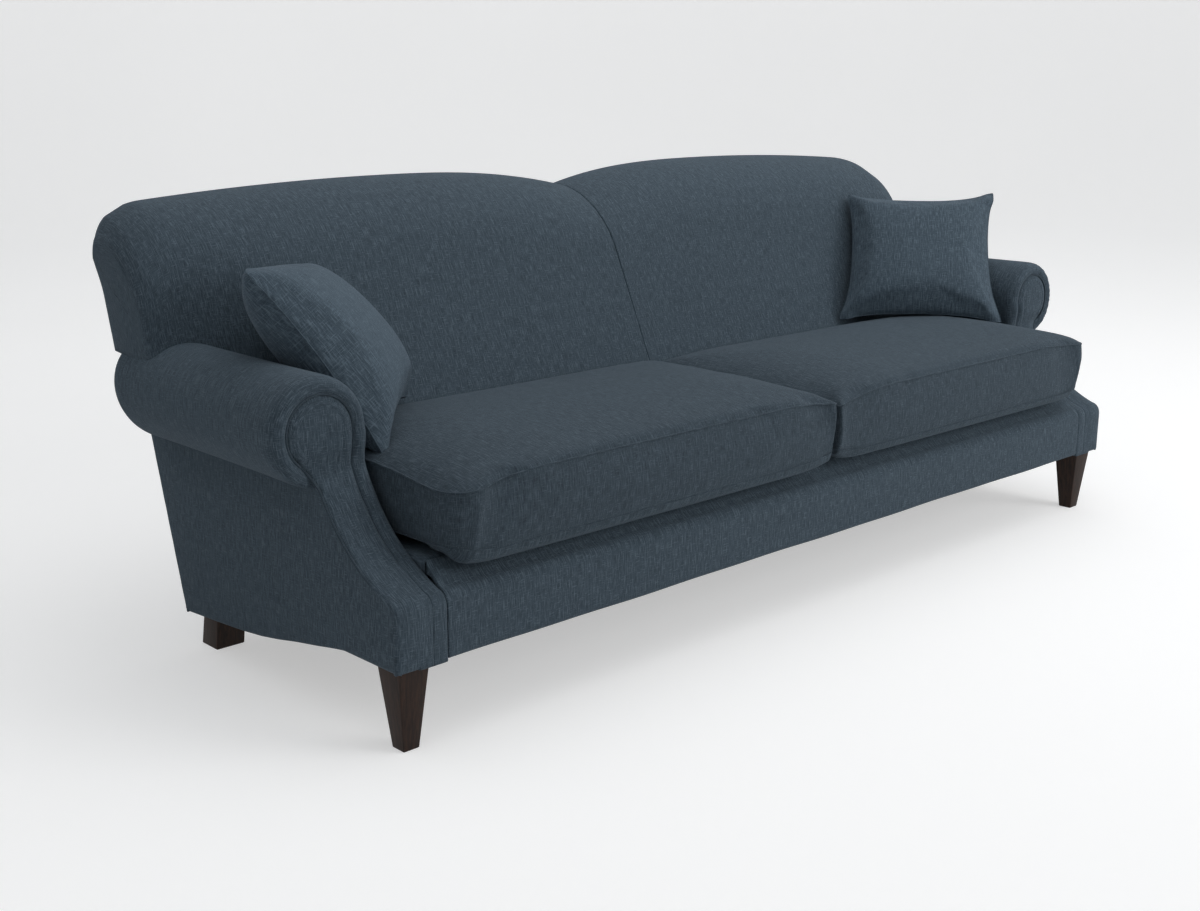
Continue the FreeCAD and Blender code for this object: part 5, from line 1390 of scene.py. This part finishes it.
def cushion_outline(cushions, count_x, count_y):
    """Rounded outline of a cushion from above: points of the four sides in order, from the front."""
    x0, x1 = cushions.inner, cushions.outer
    y0, y1 = cushions.front, 0.024
    front_r, rear_r, joint_r = cushions.corner, 0.024, 0.010

    def corner(cx, cy, r, start, n):
        angles = np.radians(np.linspace(start, start + 45, n))
        return np.stack([cx + r * np.cos(angles), cy + r * np.sin(angles)], axis=-1)

    n = 8
    front = np.concatenate([
        corner(x0 + joint_r, y0 + joint_r, joint_r, 225, n),
        np.stack([np.linspace(x0 + joint_r, x1 - front_r, count_x - 2 * n + 2)[1:-1],
                  np.full(count_x - 2 * n, y0)], axis=-1),
        corner(x1 - front_r, y0 + front_r, front_r, 270, n),
    ])
    right = np.concatenate([
        corner(x1 - front_r, y0 + front_r, front_r, 315, n),
        np.stack([np.full(count_y - 2 * n, x1),
                  np.linspace(y0 + front_r, y1 - rear_r, count_y - 2 * n + 2)[1:-1]], axis=-1),
        corner(x1 - rear_r, y1 - rear_r, rear_r, 0, n),
    ])
    back = np.concatenate([
        corner(x0 + rear_r, y1 - rear_r, rear_r, 90, n)[::-1],
        np.stack([np.linspace(x0 + rear_r, x1 - rear_r, count_x - 2 * n + 2)[1:-1],
                  np.full(count_x - 2 * n, y1)], axis=-1),
        corner(x1 - rear_r, y1 - rear_r, rear_r, 45, n)[::-1],
    ])
    left = np.concatenate([
        corner(x0 + joint_r, y0 + joint_r, joint_r, 180, n)[::-1],
        np.stack([np.full(count_y - 2 * n, x0),
                  np.linspace(y0 + joint_r, y1 - rear_r, count_y - 2 * n + 2)[1:-1]], axis=-1),
        corner(x0 + rear_r, y1 - rear_r, rear_r, 135, n)[::-1],
    ])
    return front, right, back, left


def patch(front, right, back, left):
    """Rows of points that fill four sides."""
    n, m = len(left), len(front)
    s = np.linspace(0, 1, m)[None, :, None]
    t = np.linspace(0, 1, n)[:, None, None]
    across = left[:, None, :] * (1 - s) + right[:, None, :] * s
    along = front[None, :, :] * (1 - t) + back[None, :, :] * t
    corners = (front[0] * (1 - s) * (1 - t) + front[-1] * s * (1 - t) + back[0] * (1 - s) * t + back[-1] * s * t)
    return across + along - corners


def build_cushion(side, name, droop_inner, droop_outer, hang_depth):
    """A loose box cushion: crowned top, bellied boxing, thin seams that droop at the front corners."""
    cushions = props()["cushions"]
    count_x, count_y = 64, 40
    front, right, back, left = cushion_outline(cushions, count_x, count_y)
    plan = patch(front, right, back, left)
    n, m = plan.shape[:2]
    loop = np.concatenate([front[:-1], right[:-1], back[::-1][:-1], left[::-1][:-1]])
    away = nearest(plan, np.concatenate([np.linspace(a, b, 6) for a, b in zip(loop, np.roll(loop, -1, axis=0))]))
    away[0, :] = 0
    away[-1, :] = 0
    away[:, 0] = 0
    away[:, -1] = 0
    x0, x1 = cushions.inner, cushions.outer
    width = x1 - x0

    def top_seam(p):
        """The upper seam droops towards the front corners and rises along the back."""
        a = (p[..., 0] - x0) / width
        rear = smooth_step((p[..., 1] - cushions.front) / 0.30)
        dip = droop_inner * np.clip(1 - a / 0.22, 0, 1) ** 1.7 + droop_outer * np.clip((a - 0.78) / 0.22, 0, 1) ** 1.7
        return cushions.seam - dip * (1 - 0.55 * rear) + 0.004 * rear

    def foot_seam(p):
        a = (p[..., 0] - x0) / width
        rear = smooth_step((p[..., 1] - cushions.front) / 0.16)
        lift = 0.010 * np.clip(1 - a / 0.10, 0, 1) ** 1.5 + 0.012 * np.clip((a - 0.90) / 0.10, 0, 1) ** 1.5
        return cushions.foot + lift * (1 - rear) + 0.006 * rear

    def lean_back(rows, reference):
        """The rear boxing follows the raked face of the back."""
        share = smooth_step((reference[..., 1] - (-0.10)) / 0.12)
        rows[..., 1] += share * (rows[..., 2] - 0.335) * math.tan(math.radians(24.5))
        return rows

    def seam_points(outline, share):
        """A level of the boxing: share 0 at the lower seam, 1 at the upper."""
        low, high = foot_seam(outline), top_seam(outline)
        belly = 0.0075 * math.sin(math.pi * share)
        middle = np.array([(x0 + x1) / 2, (cushions.front + 0.024) / 2])
        towards = outline - middle
        box = np.stack([np.clip(towards[:, 0] / (width / 2), -1, 1) ** 9, np.clip(towards[:, 1] / 0.2525, -1, 1) ** 9], axis=-1)
        size = np.maximum(np.linalg.norm(box, axis=1, keepdims=True), 1e-6)
        sway = np.minimum(1.0, size) * box / size
        sway[:, 0] *= 0.35
        pushed = outline + sway * belly
        rows = np.column_stack([pushed, low + (high - low) * share])
        return lean_back(rows, outline)

    crown = cushions.crown * (1 - np.exp(-away / 0.055)) * (0.75 + 0.25 * smooth_step(away / 0.22))
    top = np.concatenate([plan, (top_seam(plan) + crown)[..., None]], axis=-1)
    top = lean_back(top, plan)
    hang = hang_depth * (1 - np.exp(-away / 0.020)) * smooth_step((-0.405 - plan[..., 1]) / 0.045)
    rest = 0.3292
    bottom_z = foot_seam(plan) - hang
    seated = smooth_step((plan[..., 1] + 0.425) / 0.03)
    flat = np.maximum(rest, foot_seam(plan) - 0.016 * (1 - np.exp(-away / 0.02)))
    bottom_z = bottom_z * (1 - seated) + flat * seated
    bottom_z[0], bottom_z[-1], bottom_z[:, 0], bottom_z[:, -1] = [
        foot_seam(plan)[index] for index in (0, -1, (slice(None), 0), (slice(None), -1))
    ]
    bottom = np.concatenate([plan, bottom_z[..., None]], axis=-1)
    bottom = lean_back(bottom, plan)
    loop_closed = np.concatenate([loop, loop[:1]])
    levels = np.linspace(0, 1, 9)
    boxing = np.array([seam_points(loop_closed, s) for s in levels])
    run = np.concatenate([[0], np.cumsum(np.linalg.norm(np.diff(loop_closed, axis=0), axis=1))])
    box_map = np.stack([np.broadcast_to(run, (9, len(run))), np.broadcast_to(levels[:, None] * 0.135, (9, len(run)))], axis=-1)
    sheets = [
        (top, np.stack([plan[..., 0], plan[..., 1]], axis=-1)),
        (bottom, np.stack([plan[..., 0], plan[..., 1] + 3.0], axis=-1)),
        (boxing, box_map + np.array([0.4, 5.0])),
    ]
    cloth = MATERIALS["cushion_cloth"]
    piece = skin("cushion_cover_" + name, sheets, cloth, mirror=side < 0, weld=4e-5, shift=0.47 * side)
    coords = places_of(piece)
    flip = np.array([side, 1.0, 1.0])
    top_row = vertices_at(piece, boxing[-1] * flip)
    foot_row = vertices_at(piece, boxing[0] * flip)
    press(piece, cushions.pressure, cushions.swell, pinned=(coords[:, 2] < 0.3305).astype(float))
    crisp_edges(piece, top_row, foot_row)
    coords = places_of(piece)
    top_path, foot_path = coords[top_row], coords[foot_row]
    refine(piece)
    ride(piece, "seat_cushion_" + name, "cushion_cloth", "seat_cushion_" + name)
    for label, path, radius in (("top", top_path, 0.0019), ("lower", foot_path, 0.0013)):
        cord = seam_cord("cushion_%s_seam_%s" % (label, name), [eased(path)], radius, cloth, 0.006, 8)
        ride(cord, "seat_cushion_" + name, "cushion_cloth")
    stitch_path = beside(eased(foot_path), 0.0012, 0.0045)
    size = (0.0008, 0.0008, 0.0032)
    thread = MATERIALS["stitch_thread"]
    stitches = row_along("cushion_stitches_" + name, [stitch_path], thread, 0.0042, size, 0.15)
    ride(stitches, "seat_cushion_" + name, "cushion_cloth")
    return piece


def places_of(piece):
    """The vertices' places of a mesh."""
    coords = np.empty(len(piece.data.vertices) * 3)
    piece.data.vertices.foreach_get("co", coords)
    return coords.reshape(-1, 3)


def vertices_at(piece, points):
    """The vertices that a known row of points became, in order, without repeats."""
    coords = places_of(piece)
    found = []
    for point in points:
        index = int(np.argmin(np.sum((coords - point) ** 2, axis=1)))
        if not found or found[-1] != index:
            found.append(index)
    if found[0] != found[-1]:
        found.append(found[0])
    return np.array(found)


def crisp_edges(piece, *rows):
    """Keeps the edges along the seams crisp in the finer mesh."""
    mesh = piece.data
    edges = np.empty(len(mesh.edges) * 2, dtype=np.int32)
    mesh.edges.foreach_get("vertices", edges)
    edges = np.sort(edges.reshape(-1, 2), axis=1)
    known = {tuple(edge): index for index, edge in enumerate(edges.tolist())}
    values = np.zeros(len(mesh.edges), dtype=np.float32)
    for row in rows:
        for a, b in zip(row[:-1].tolist(), row[1:].tolist()):
            index = known.get((min(a, b), max(a, b)))
            if index is not None:
                values[index] = 0.85
    crease = mesh.attributes.new("crease_edge", "FLOAT", "EDGE")
    crease.data.foreach_set("value", values)


def eased(path, rounds=2):
    """A closed path with its small kinks eased."""
    path = np.array(path[:-1])
    for _ in range(rounds):
        path = 0.5 * path + 0.25 * (np.roll(path, 1, axis=0) + np.roll(path, -1, axis=0))
    return np.concatenate([path, path[:1]])


def beside(path, out, up):
    """A closed path moved outwards from its own middle and up."""
    middle = path.mean(axis=0)
    tangent = np.roll(path[:-1], -1, axis=0) - np.roll(path[:-1], 1, axis=0)
    normal = np.stack([tangent[:, 1], -tangent[:, 0], np.zeros(len(tangent))], axis=-1)
    normal /= np.maximum(np.linalg.norm(normal, axis=1, keepdims=True), 1e-9)
    away = path[:-1] - middle
    if np.sum(normal[:, 0] * away[:, 0] + normal[:, 1] * away[:, 1]) < 0:
        normal = -normal
    moved = path[:-1] + normal * out
    moved[:, 2] += up
    return np.concatenate([moved, moved[:1]])


def build_zip(side, name):
    """The closed zip behind a cushion: two tapes, a row of teeth and its slider."""
    slope = math.tan(math.radians(24.5))

    def rear(z):
        return 0.0195 + (z - 0.328) * slope

    def at(x, z, out):
        lean = math.radians(24.5)
        return (x, rear(z) + 0.0030 + out * math.cos(lean), z - out * math.sin(lean))

    x = np.linspace(0.108, 0.928, 84)
    z = np.array([0.3885, 0.3890, 0.3930, 0.3975, 0.3990, 0.4000, 0.4010, 0.4025, 0.4070, 0.4110, 0.4115])
    lift = np.array([-0.0006, 0.0004, 0.0007, 0.0009, 0.0001, 0.0, 0.0001, 0.0009, 0.0007, 0.0004, -0.0006])
    wave = 0.0004 * np.sin(x * 31.0)
    front = np.array([[at(xx, zz, up + w) for xx, w in zip(x, wave)] for zz, up in zip(z, lift)])
    back = np.array([[at(xx, zz, -0.0012) for xx in x] for zz in z])
    weave = flat_map(front, (0, 0, 1), (1, 0, 0))
    sheets = [(front, weave), (back, weave)] + border(front, back)
    piece = skin("zip_tape_" + name, sheets, MATERIALS["zip_tape"], mirror=side < 0)
    ride(piece, "seat_cushion_" + name, "zip_tape", "cushion_zip_" + name)
    run = np.array([at(xx * 1.0, 0.400, 0.0012) for xx in np.linspace(0.112, 0.924, 60)])
    run[:, 0] *= side
    teeth = row_along("zip_teeth_" + name, [run], MATERIALS["zip_teeth"], 0.0026, (0.0052, 0.0016, 0.0018), 0.0)
    ride(teeth, "seat_cushion_" + name, "zip_tape")
    rows = []
    for zz, up in ((0.3935, 0.0004), (0.3945, 0.0026), (0.4000, 0.0034), (0.4055, 0.0026), (0.4065, 0.0004)):
        rows.append([at(0.9205 + 0.0062 * math.sin(a), zz, up * math.cos(a * 0.5) + 0.0006)
                     for a in np.linspace(-1.4, 1.4, 9)])
    rows = np.array(rows)
    base = rows.copy()
    base[..., 1] -= 0.0030
    sheets = [(rows, flat_map(rows)), (base, flat_map(base))] + border(rows, base)
    slider = skin("zip_slider_" + name, sheets, MATERIALS["zip_teeth"], mirror=side < 0)
    ride(slider, "seat_cushion_" + name, "zip_tape")
    return piece


def pillow_axes(side):
    """Middle of a pillow and its own directions: along the lower edge, through it and up its face."""
    lean = Matrix.Rotation(math.radians(-38.5), 3, "X")
    turn = Matrix.Rotation(math.radians(-side * 51), 3, "Z")
    axes = np.array(turn @ lean)
    return np.array([side * 0.947, -0.004, 0.651]), axes


def build_pillow(side, name, sag_ear, tuck_ear, front_full, rear_full, top_draw):
    """A knife-edge pillow with drawn-in edges, blunt ears and a thin closing seam."""
    pillows = props()["pillows"]
    middle, axes = pillow_axes(side)
    count = 49
    t = np.linspace(-1, 1, count)
    t = np.sign(t) * (1 - (1 - np.abs(t)) ** 1.22)
    u, v = np.meshgrid(t, t)
    half = pillows.size / 2
    draw = pillows.draw
    # The edges are drawn in between the ears, most at the middle.
    draw_up = draw * np.where(v > 0, top_draw, 1.0)
    blunt = 1 - 0.030 * smooth_step((np.abs(u) + np.abs(v) - 1.86) / 0.14)
    spread = 1 + 0.07 * ((1 - v) / 2) ** 3
    a = half * u * (1 - draw / half * (1 - np.abs(v) ** 2.4) * np.abs(u) ** 3) * blunt * spread
    b = half * v * (1 - draw_up / half * (1 - np.abs(u) ** 2.4) * np.abs(v) ** 3) * blunt
    fat = np.clip((1 - np.abs(u) ** 2.3) * (1 - np.abs(v) ** 2.3), 0, 1) ** 0.62
    slump = 1.0 + (0.14 if side < 0 else 0.02) * (-v) - 0.05 * u * side
    depth = pillows.fill / 2 * fat * slump
    # The filling has settled a little unevenly.
    depth = depth * (1 + 0.03 * np.sin(2.1 * u + 0.8 + side) * np.cos(1.7 * v))
    pinch = 0.0011 * np.sin(34 * u + 1.7 * np.sin(5 * u)) * np.exp(-(1 - np.abs(v)) / 0.06) * (1 - np.abs(v)) * 12
    pinch = pinch + 0.0011 * np.sin(31 * v + 1.3 * np.sin(4 * v)) * np.exp(-(1 - np.abs(u)) / 0.06) * (1 - np.abs(u)) * 12
    depth = np.maximum(depth + pinch, 0)
    # The lower edge lifts off the seat a little in its middle, one upper ear sags and one lower ear is tucked in.
    b = b + 0.003 * np.clip(-v, 0, 1) ** 4 * (1 - u ** 2)
    b = b - sag_ear * ((1 - u * side) / 2) ** 1.5 * ((1 + v) / 2) ** 1.5
    b = b + (0.012 if side > 0 else 0.0) * ((1 + u) / 2) ** 7 * ((1 + v) / 2) ** 7
    tuck = tuck_ear * ((1 + u * side) / 2) ** 2 * ((1 - v) / 2) ** 2
    # Leaning against the arm, the rear of the left pillow stands out fully towards its near upper ear.
    box = np.clip((1 - np.abs(u) ** 6) * (1 - np.abs(v) ** 6), 0, 1) ** 0.5 * ((1 + u * side) / 2 * (1 + v) / 2) ** 0.6
    front = np.stack([a, tuck - depth * front_full, b], axis=-1)
    rear = np.stack([a, tuck + depth * 0.92 + rear_full * box, b], axis=-1)
    weave = np.stack([a, b], axis=-1)
    place = axes.T
    front_world = front @ place + middle
    rear_world = rear @ place + middle
    cloth = MATERIALS["pillow_cloth"]
    sheets = [(front_world, weave), (rear_world, weave + np.array([0.0, 2.0]))]
    piece = skin("pillow_cover_" + name, sheets, cloth, weld=4e-5, shift=0.29 * side)
    rim = np.concatenate([front_world[0], front_world[1:, -1], front_world[-1, :-1][::-1], front_world[:-1, 0][::-1]])
    row = vertices_at(piece, rim)
    press(piece, pillows.pressure, pillows.swell, stiff=18.0)
    crisp_edges(piece, row)
    path = places_of(piece)[row]
    refine(piece)
    body = "throw_pillow_" + name
    ride(piece, body, "pillow_cloth", "throw_pillow_" + name)
    seam = seam_cord("pillow_seam_" + name, [eased(path, 1)], 0.0013, cloth, 0.005, 6)
    ride(seam, body, "pillow_cloth")
    return piece


def slot_of(label):
    """The finish that a hidden part takes, from its own name."""
    for words, wanted in (
        (("leg_hanger_bolts", "leg_t_nuts", "corner_block_screws"), "fastener_steel"),
        (("seat_springs", "spring_clips"), "spring_steel"),
        (("arm_outer_board", "arm_liner_board", "arm_stump_board"), "plywood"),
        (("back_webbing",), "webbing"),
        (("dust_cloth",), "dust_cloth"),
        (("front_leg", "back_leg"), "leg_wood"),
        (("seat_cushion",), "cushion_cloth"),
        (("throw_pillow",), "pillow_cloth"),
        (("cushion_zip",), "zip_tape"),
        (("arm_piping",), "piping_cloth"),
        (("arm_pad", "arm_facing", "outside_arm", "front_rail_cover", "back_pad", "outside_back", "seat_deck"),
         "upholstery_cloth"),
    ):
        if label.startswith(words):
            return wanted
    return "frame_wood"


def finish_inner_parts():
    """Timber, plywood, steel, straps and cloth on the nodes that keep their own solids."""
    by_slot = {
        "frame_wood": MATERIALS["frame_wood"],
        "plywood": MATERIALS["plywood"],
        "webbing": MATERIALS["webbing"],
        "spring_steel": MATERIALS["spring_steel"],
        "fastener_steel": MATERIALS["fastener_steel"],
        "dust_cloth": MATERIALS["dust_cloth"],
        "leg_wood": MATERIALS["leg_wood"],
        "zip_tape": MATERIALS["zip_tape"],
        "upholstery_cloth": MATERIALS["upholstery_cloth"],
        "cushion_cloth": MATERIALS["cushion_cloth"],
        "pillow_cloth": MATERIALS["pillow_cloth"],
        "piping_cloth": MATERIALS["piping_cloth"],
    }
    for label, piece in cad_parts.items():
        wanted = slot_of(label)
        if wanted not in by_slot:
            raise RuntimeError("no finish for %s, slot %s" % (label, wanted))
        for index in range(max(1, len(piece.material_slots))):
            if not piece.material_slots:
                piece.data.materials.append(by_slot[wanted])
            piece.material_slots[index].material = by_slot[wanted]


# Operators.


class MakeFinishes(bpy.types.Operator):
    """Make the covering, timber, steel and strap finishes, and put them on the hidden parts"""

    bl_idname = "sofa.make_finishes"
    bl_label = "Finishes and Hidden Parts"

    def execute(self, context):
        woven_cover("upholstery_cloth")
        # The cushions, pillows and piping are copies of the one covering with painted shade and painted light: the
        # cushions are darkened to 0.81, the pillows lightened to 1.26 and the piping darkened to 0.80.
        woven_cover("cushion_cloth", 0.81, 1.0)
        woven_cover("pillow_cloth", 1.26, 0.9)
        woven_cover("piping_cloth", 0.80, 0.6)
        thread = strapping("stitch_thread", (0.10, 0.13, 0.155), (0.05, 0.07, 0.085), 0.0006)
        MATERIALS["stitch_thread"] = thread
        stained_legs()
        plain_timber("frame_wood", tuple(props()["timber"].pine), 0)
        plain_timber("plywood", tuple(props()["timber"].ply), 1, layers=True)
        metal("spring_steel", (0.30, 0.31, 0.33), 0.32, 9.0)
        metal("fastener_steel", (0.55, 0.54, 0.50), 0.28, 24.0)
        metal("zip_teeth", (0.40, 0.37, 0.31), 0.35, 40.0)
        strapping("webbing", (0.42, 0.33, 0.20), (0.14, 0.10, 0.06), 0.0032)
        strapping("zip_tape", (0.050, 0.068, 0.085), (0.018, 0.026, 0.034), 0.0010)
        pressed_felt()
        finish_inner_parts()
        return {"FINISHED"}


class MakeLegs(bpy.types.Operator):
    """Make the two tapered front legs and the two raked back legs"""

    bl_idname = "sofa.make_legs"
    bl_label = "Legs"

    def execute(self, context):
        for name, side in SIDES:
            build_leg("front_leg_tapered_" + name, "front_leg_" + name, (0.034, 0.034), (0.066, 0.066),
                      0.163, side * 1.103, -0.416, 0.0)
            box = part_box("back_leg_" + name)
            build_leg("back_leg_raked_" + name, "back_leg_" + name, (0.064, 0.060), (0.064, 0.054),
                      box[1][2], side * 1.082, 0.2487, -0.019)
        return {"FINISHED"}


class MakeArmPads(bpy.types.Operator):
    """Make the rolled arms with their gathered front ring and padded inner side"""

    bl_idname = "sofa.make_arm_pads"
    bl_label = "Arm Rolls"

    def execute(self, context):
        for name, side in SIDES:
            build_arm_pad(side, name)
        return {"FINISHED"}


class MakeArmFacings(bpy.types.Operator):
    """Make the keyhole facings and their piping"""

    bl_idname = "sofa.make_arm_facings"
    bl_label = "Arm Facings and Piping"

    def execute(self, context):
        for name, side in SIDES:
            build_facing(side, name)
        return {"FINISHED"}


class MakeOutsideArms(bpy.types.Operator):
    """Make the outside panels with their scalloped hem"""

    bl_idname = "sofa.make_outside_arms"
    bl_label = "Outside Arms"

    def execute(self, context):
        for name, side in SIDES:
            build_outside_arm(side, name)
        return {"FINISHED"}


class MakeFrontRail(bpy.types.Operator):
    """Make the cover of the front rail"""

    bl_idname = "sofa.make_front_rail"
    bl_label = "Front Rail"

    def execute(self, context):
        build_front_rail()
        return {"FINISHED"}


class MakeBack(bpy.types.Operator):
    """Make the two humps of the tight back"""

    bl_idname = "sofa.make_back"
    bl_label = "Back"

    def execute(self, context):
        for name, side in SIDES:
            build_back(side, name)
        return {"FINISHED"}


class MakeOutsideBack(bpy.types.Operator):
    """Make the panel over the rear"""

    bl_idname = "sofa.make_outside_back"
    bl_label = "Outside Back"

    def execute(self, context):
        build_outside_back()
        return {"FINISHED"}


class MakeDeck(bpy.types.Operator):
    """Make the padded deck and the thin cloth under the frame"""

    bl_idname = "sofa.make_deck"
    bl_label = "Deck and Dust Cloth"

    def execute(self, context):
        build_deck()
        build_dust_cloth()
        return {"FINISHED"}


class MakeSeatCushions(bpy.types.Operator):
    """Make the two seat cushions with their seams, stitches and zips"""

    bl_idname = "sofa.make_seat_cushions"
    bl_label = "Seat Cushions"

    def execute(self, context):
        build_cushion(-1, "left", 0.012, 0.026, 0.036)
        build_cushion(1, "right", 0.027, 0.014, 0.028)
        for name, side in SIDES:
            build_zip(side, name)
        return {"FINISHED"}


class MakePillows(bpy.types.Operator):
    """Make the two throw pillows"""

    bl_idname = "sofa.make_pillows"
    bl_label = "Throw Pillows"

    def execute(self, context):
        build_pillow(-1, "left", 0.056, 0.032, 1.20, 0.034, 0.15)
        build_pillow(1, "right", 0.0, 0.0, 0.80, 0.0, 1.0)
        return {"FINISHED"}


class MakeStage(bpy.types.Operator):
    """Make the pale floor, the soft light and the camera"""

    bl_idname = "sofa.make_stage"
    bl_label = "Stage"

    def execute(self, context):
        build_stage()
        return {"FINISHED"}


def area_lamp(name, place, target, size, power, tone=(1, 1, 1)):
    """A large soft lamp aimed at a point."""
    data = bpy.data.lights.new(name, "AREA")
    data.shape = "RECTANGLE"
    data.size, data.size_y = size
    data.energy = power
    data.color = tone
    lamp = bpy.data.objects.new(name, data)
    lamp.location = place
    lamp.rotation_euler = (Vector(target) - Vector(place)).to_track_quat("-Z", "Y").to_euler()
    bpy.context.scene.collection.objects.link(lamp)
    return lamp


def build_stage():
    """Pale floor that runs up into a pale wall, soft lamps and the photograph's camera."""
    stage = props()["stage"]
    scene = bpy.context.scene
    scene.view_settings.view_transform = "Standard"
    # A floor whose far side bends up into a wall, all round, so that every view has a pale ground.
    rings = []
    reach = 9.0
    bend = 3.0
    profile = [(0.0, 0.0), (2.0, 0.0), (4.0, 0.0), (6.0, 0.0), (reach - 1.0, 0.0)]
    profile += [(reach + bend * math.sin(a), bend * (1 - math.cos(a))) for a in np.linspace(0, math.pi / 2, 16)]
    profile += [(reach + bend, 6.0), (reach + bend, 12.0)]
    turns = np.linspace(0, 2 * math.pi, 97)
    for r, z in profile:
        r = max(r, 0.001)
        rings.append([(r * math.cos(a), r * math.sin(a), z) for a in turns])
    rings = np.array(rings)
    shades = Shades("studio_floor")
    place = shades.node("ShaderNodeTexCoord", None, None, out="Object")
    x, y, z = shades.parts(place)
    # The glow that the camera sees carries painted light: it is darker to the left, lighter to the right and lighter
    # up the wall.
    slope = (x * 0.73 - y * 0.10).between(-2.6, 3.4)
    soft = shades.noise(place, 0.5, 1.0, 0.5) * 0.012
    pale = shades.mix(slope, (0.83, 0.83, 0.83), (0.955, 0.955, 0.955))
    pale = shades.mix(z.between(0.2, 2.6) * 0.5, pale, (1.06, 1.06, 1.06))
    rays = shades.node("ShaderNodeLightPath", None, None, out="Is Camera Ray")
    glossy = shades.node("ShaderNodeLightPath", None, None, out="Is Glossy Ray")
    clear = shades.node("ShaderNodeLightPath", None, None, out="Is Transmission Ray")
    seen = (rays + glossy + clear).between(0.0, 1.0)
    matt = shades.node("ShaderNodeBsdfDiffuse", None, {"Color": (0.80, 0.80, 0.80), "Roughness": 0.3})
    lit = shades.node("ShaderNodeBsdfDiffuse", None, {"Color": (0.86, 0.86, 0.86), "Roughness": 0.3})
    glow = shades.node("ShaderNodeEmission", None, {"Color": pale, "Strength": 2.30})
    share = 0.22 + soft
    for_camera = shades.node("ShaderNodeMixShader", None, {0: share, 1: lit, 2: glow})
    result = shades.node("ShaderNodeMixShader", None, {0: seen, 1: matt, 2: for_camera})
    shades.node("ShaderNodeOutputMaterial", None, {"Surface": result})
    floor = skin("studio_ground", [(rings, flat_map(rings, (1, 0, 0), (0, 1, 0)))], shades.material, weld=0.003)
    facing_in(floor)
    world = bpy.data.worlds.new("studio_air")
    scene.world = world
    world.use_nodes = True
    air = world.node_tree.nodes["Background"]
    air.inputs["Color"].default_value = (0.95, 0.975, 1.0, 1.0)
    air.inputs["Strength"].default_value = stage.world
    area_lamp("overhead_lamp", (0.8, -0.6, 4.2), (0.0, 0.0, 0.4), (5.0, 4.0), stage.key)
    area_lamp("front_lamp", (2.6, -4.6, 2.4), (0.1, 0.0, 0.5), (3.0, 2.4), stage.fill)
    data = bpy.data.cameras.new("photo_camera")
    data.lens = 45.45
    data.sensor_width = 36.0
    data.sensor_fit = "HORIZONTAL"
    data.clip_end = 60.0
    camera = bpy.data.objects.new("photo_camera", data)
    camera.location = (-2.526, -2.429, 1.152)
    camera.rotation_euler = (math.radians(75.642), 0.0, math.radians(-43.171))
    scene.collection.objects.link(camera)
    scene.camera = camera


def facing_in(piece):
    """Turns the ground's faces up and inwards."""
    work = bmesh.new()
    work.from_mesh(piece.data)
    work.faces.ensure_lookup_table()
    lowest = min(work.faces, key=lambda face: face.calc_center_median().xy.length)
    if lowest.normal.z < 0:
        bmesh.ops.reverse_faces(work, faces=work.faces)
    work.to_mesh(piece.data)
    work.free()


class SofaPanel(bpy.types.Panel):
    """Sizes, colours and steps of the sofa"""

    bl_label = "Roll Arm Sofa"
    bl_idname = "VIEW3D_PT_sofa"
    bl_space_type = "VIEW_3D"
    bl_region_type = "UI"
    bl_category = "Sofa"

    def draw(self, context):
        layout = self.layout
        for operator in STEPS:
            layout.operator(operator.bl_idname)
        for name in GROUPS:
            box = layout.box()
            group = getattr(context.scene, name)
            box.label(text=name.replace("_", " ").title())
            for key in group.__annotations__:
                box.prop(group, key)


GROUPS = {
    "sofa_fabric": SofaFabric,
    "sofa_timber": SofaTimber,
    "sofa_arms": SofaArms,
    "sofa_back": SofaBack,
    "sofa_cushions": SofaCushions,
    "sofa_pillows": SofaPillows,
    "sofa_stage": SofaStage,
}

STEPS = (
    MakeFinishes,
    MakeStage,
    MakeLegs,
    MakeArmPads,
    MakeArmFacings,
    MakeOutsideArms,
    MakeFrontRail,
    MakeBack,
    MakeOutsideBack,
    MakeDeck,
    MakeSeatCushions,
    MakePillows,
)


def register():
    for name, group in GROUPS.items():
        bpy.utils.register_class(group)
        setattr(bpy.types.Scene, name, PointerProperty(type=group))
    for operator in STEPS:
        bpy.utils.register_class(operator)
    bpy.utils.register_class(SofaPanel)


def unregister():
    bpy.utils.unregister_class(SofaPanel)
    for operator in reversed(STEPS):
        bpy.utils.unregister_class(operator)
    for name, group in reversed(list(GROUPS.items())):
        delattr(bpy.types.Scene, name)
        bpy.utils.unregister_class(group)


def main():
    """Builds every piece in order."""
    register()
    for operator in STEPS:
        group, step = operator.bl_idname.split(".")
        result = getattr(getattr(bpy.ops, group), step)()
        if result != {"FINISHED"}:
            raise RuntimeError(operator.bl_label + " did not finish")


if __name__ == "__main__":
    main()
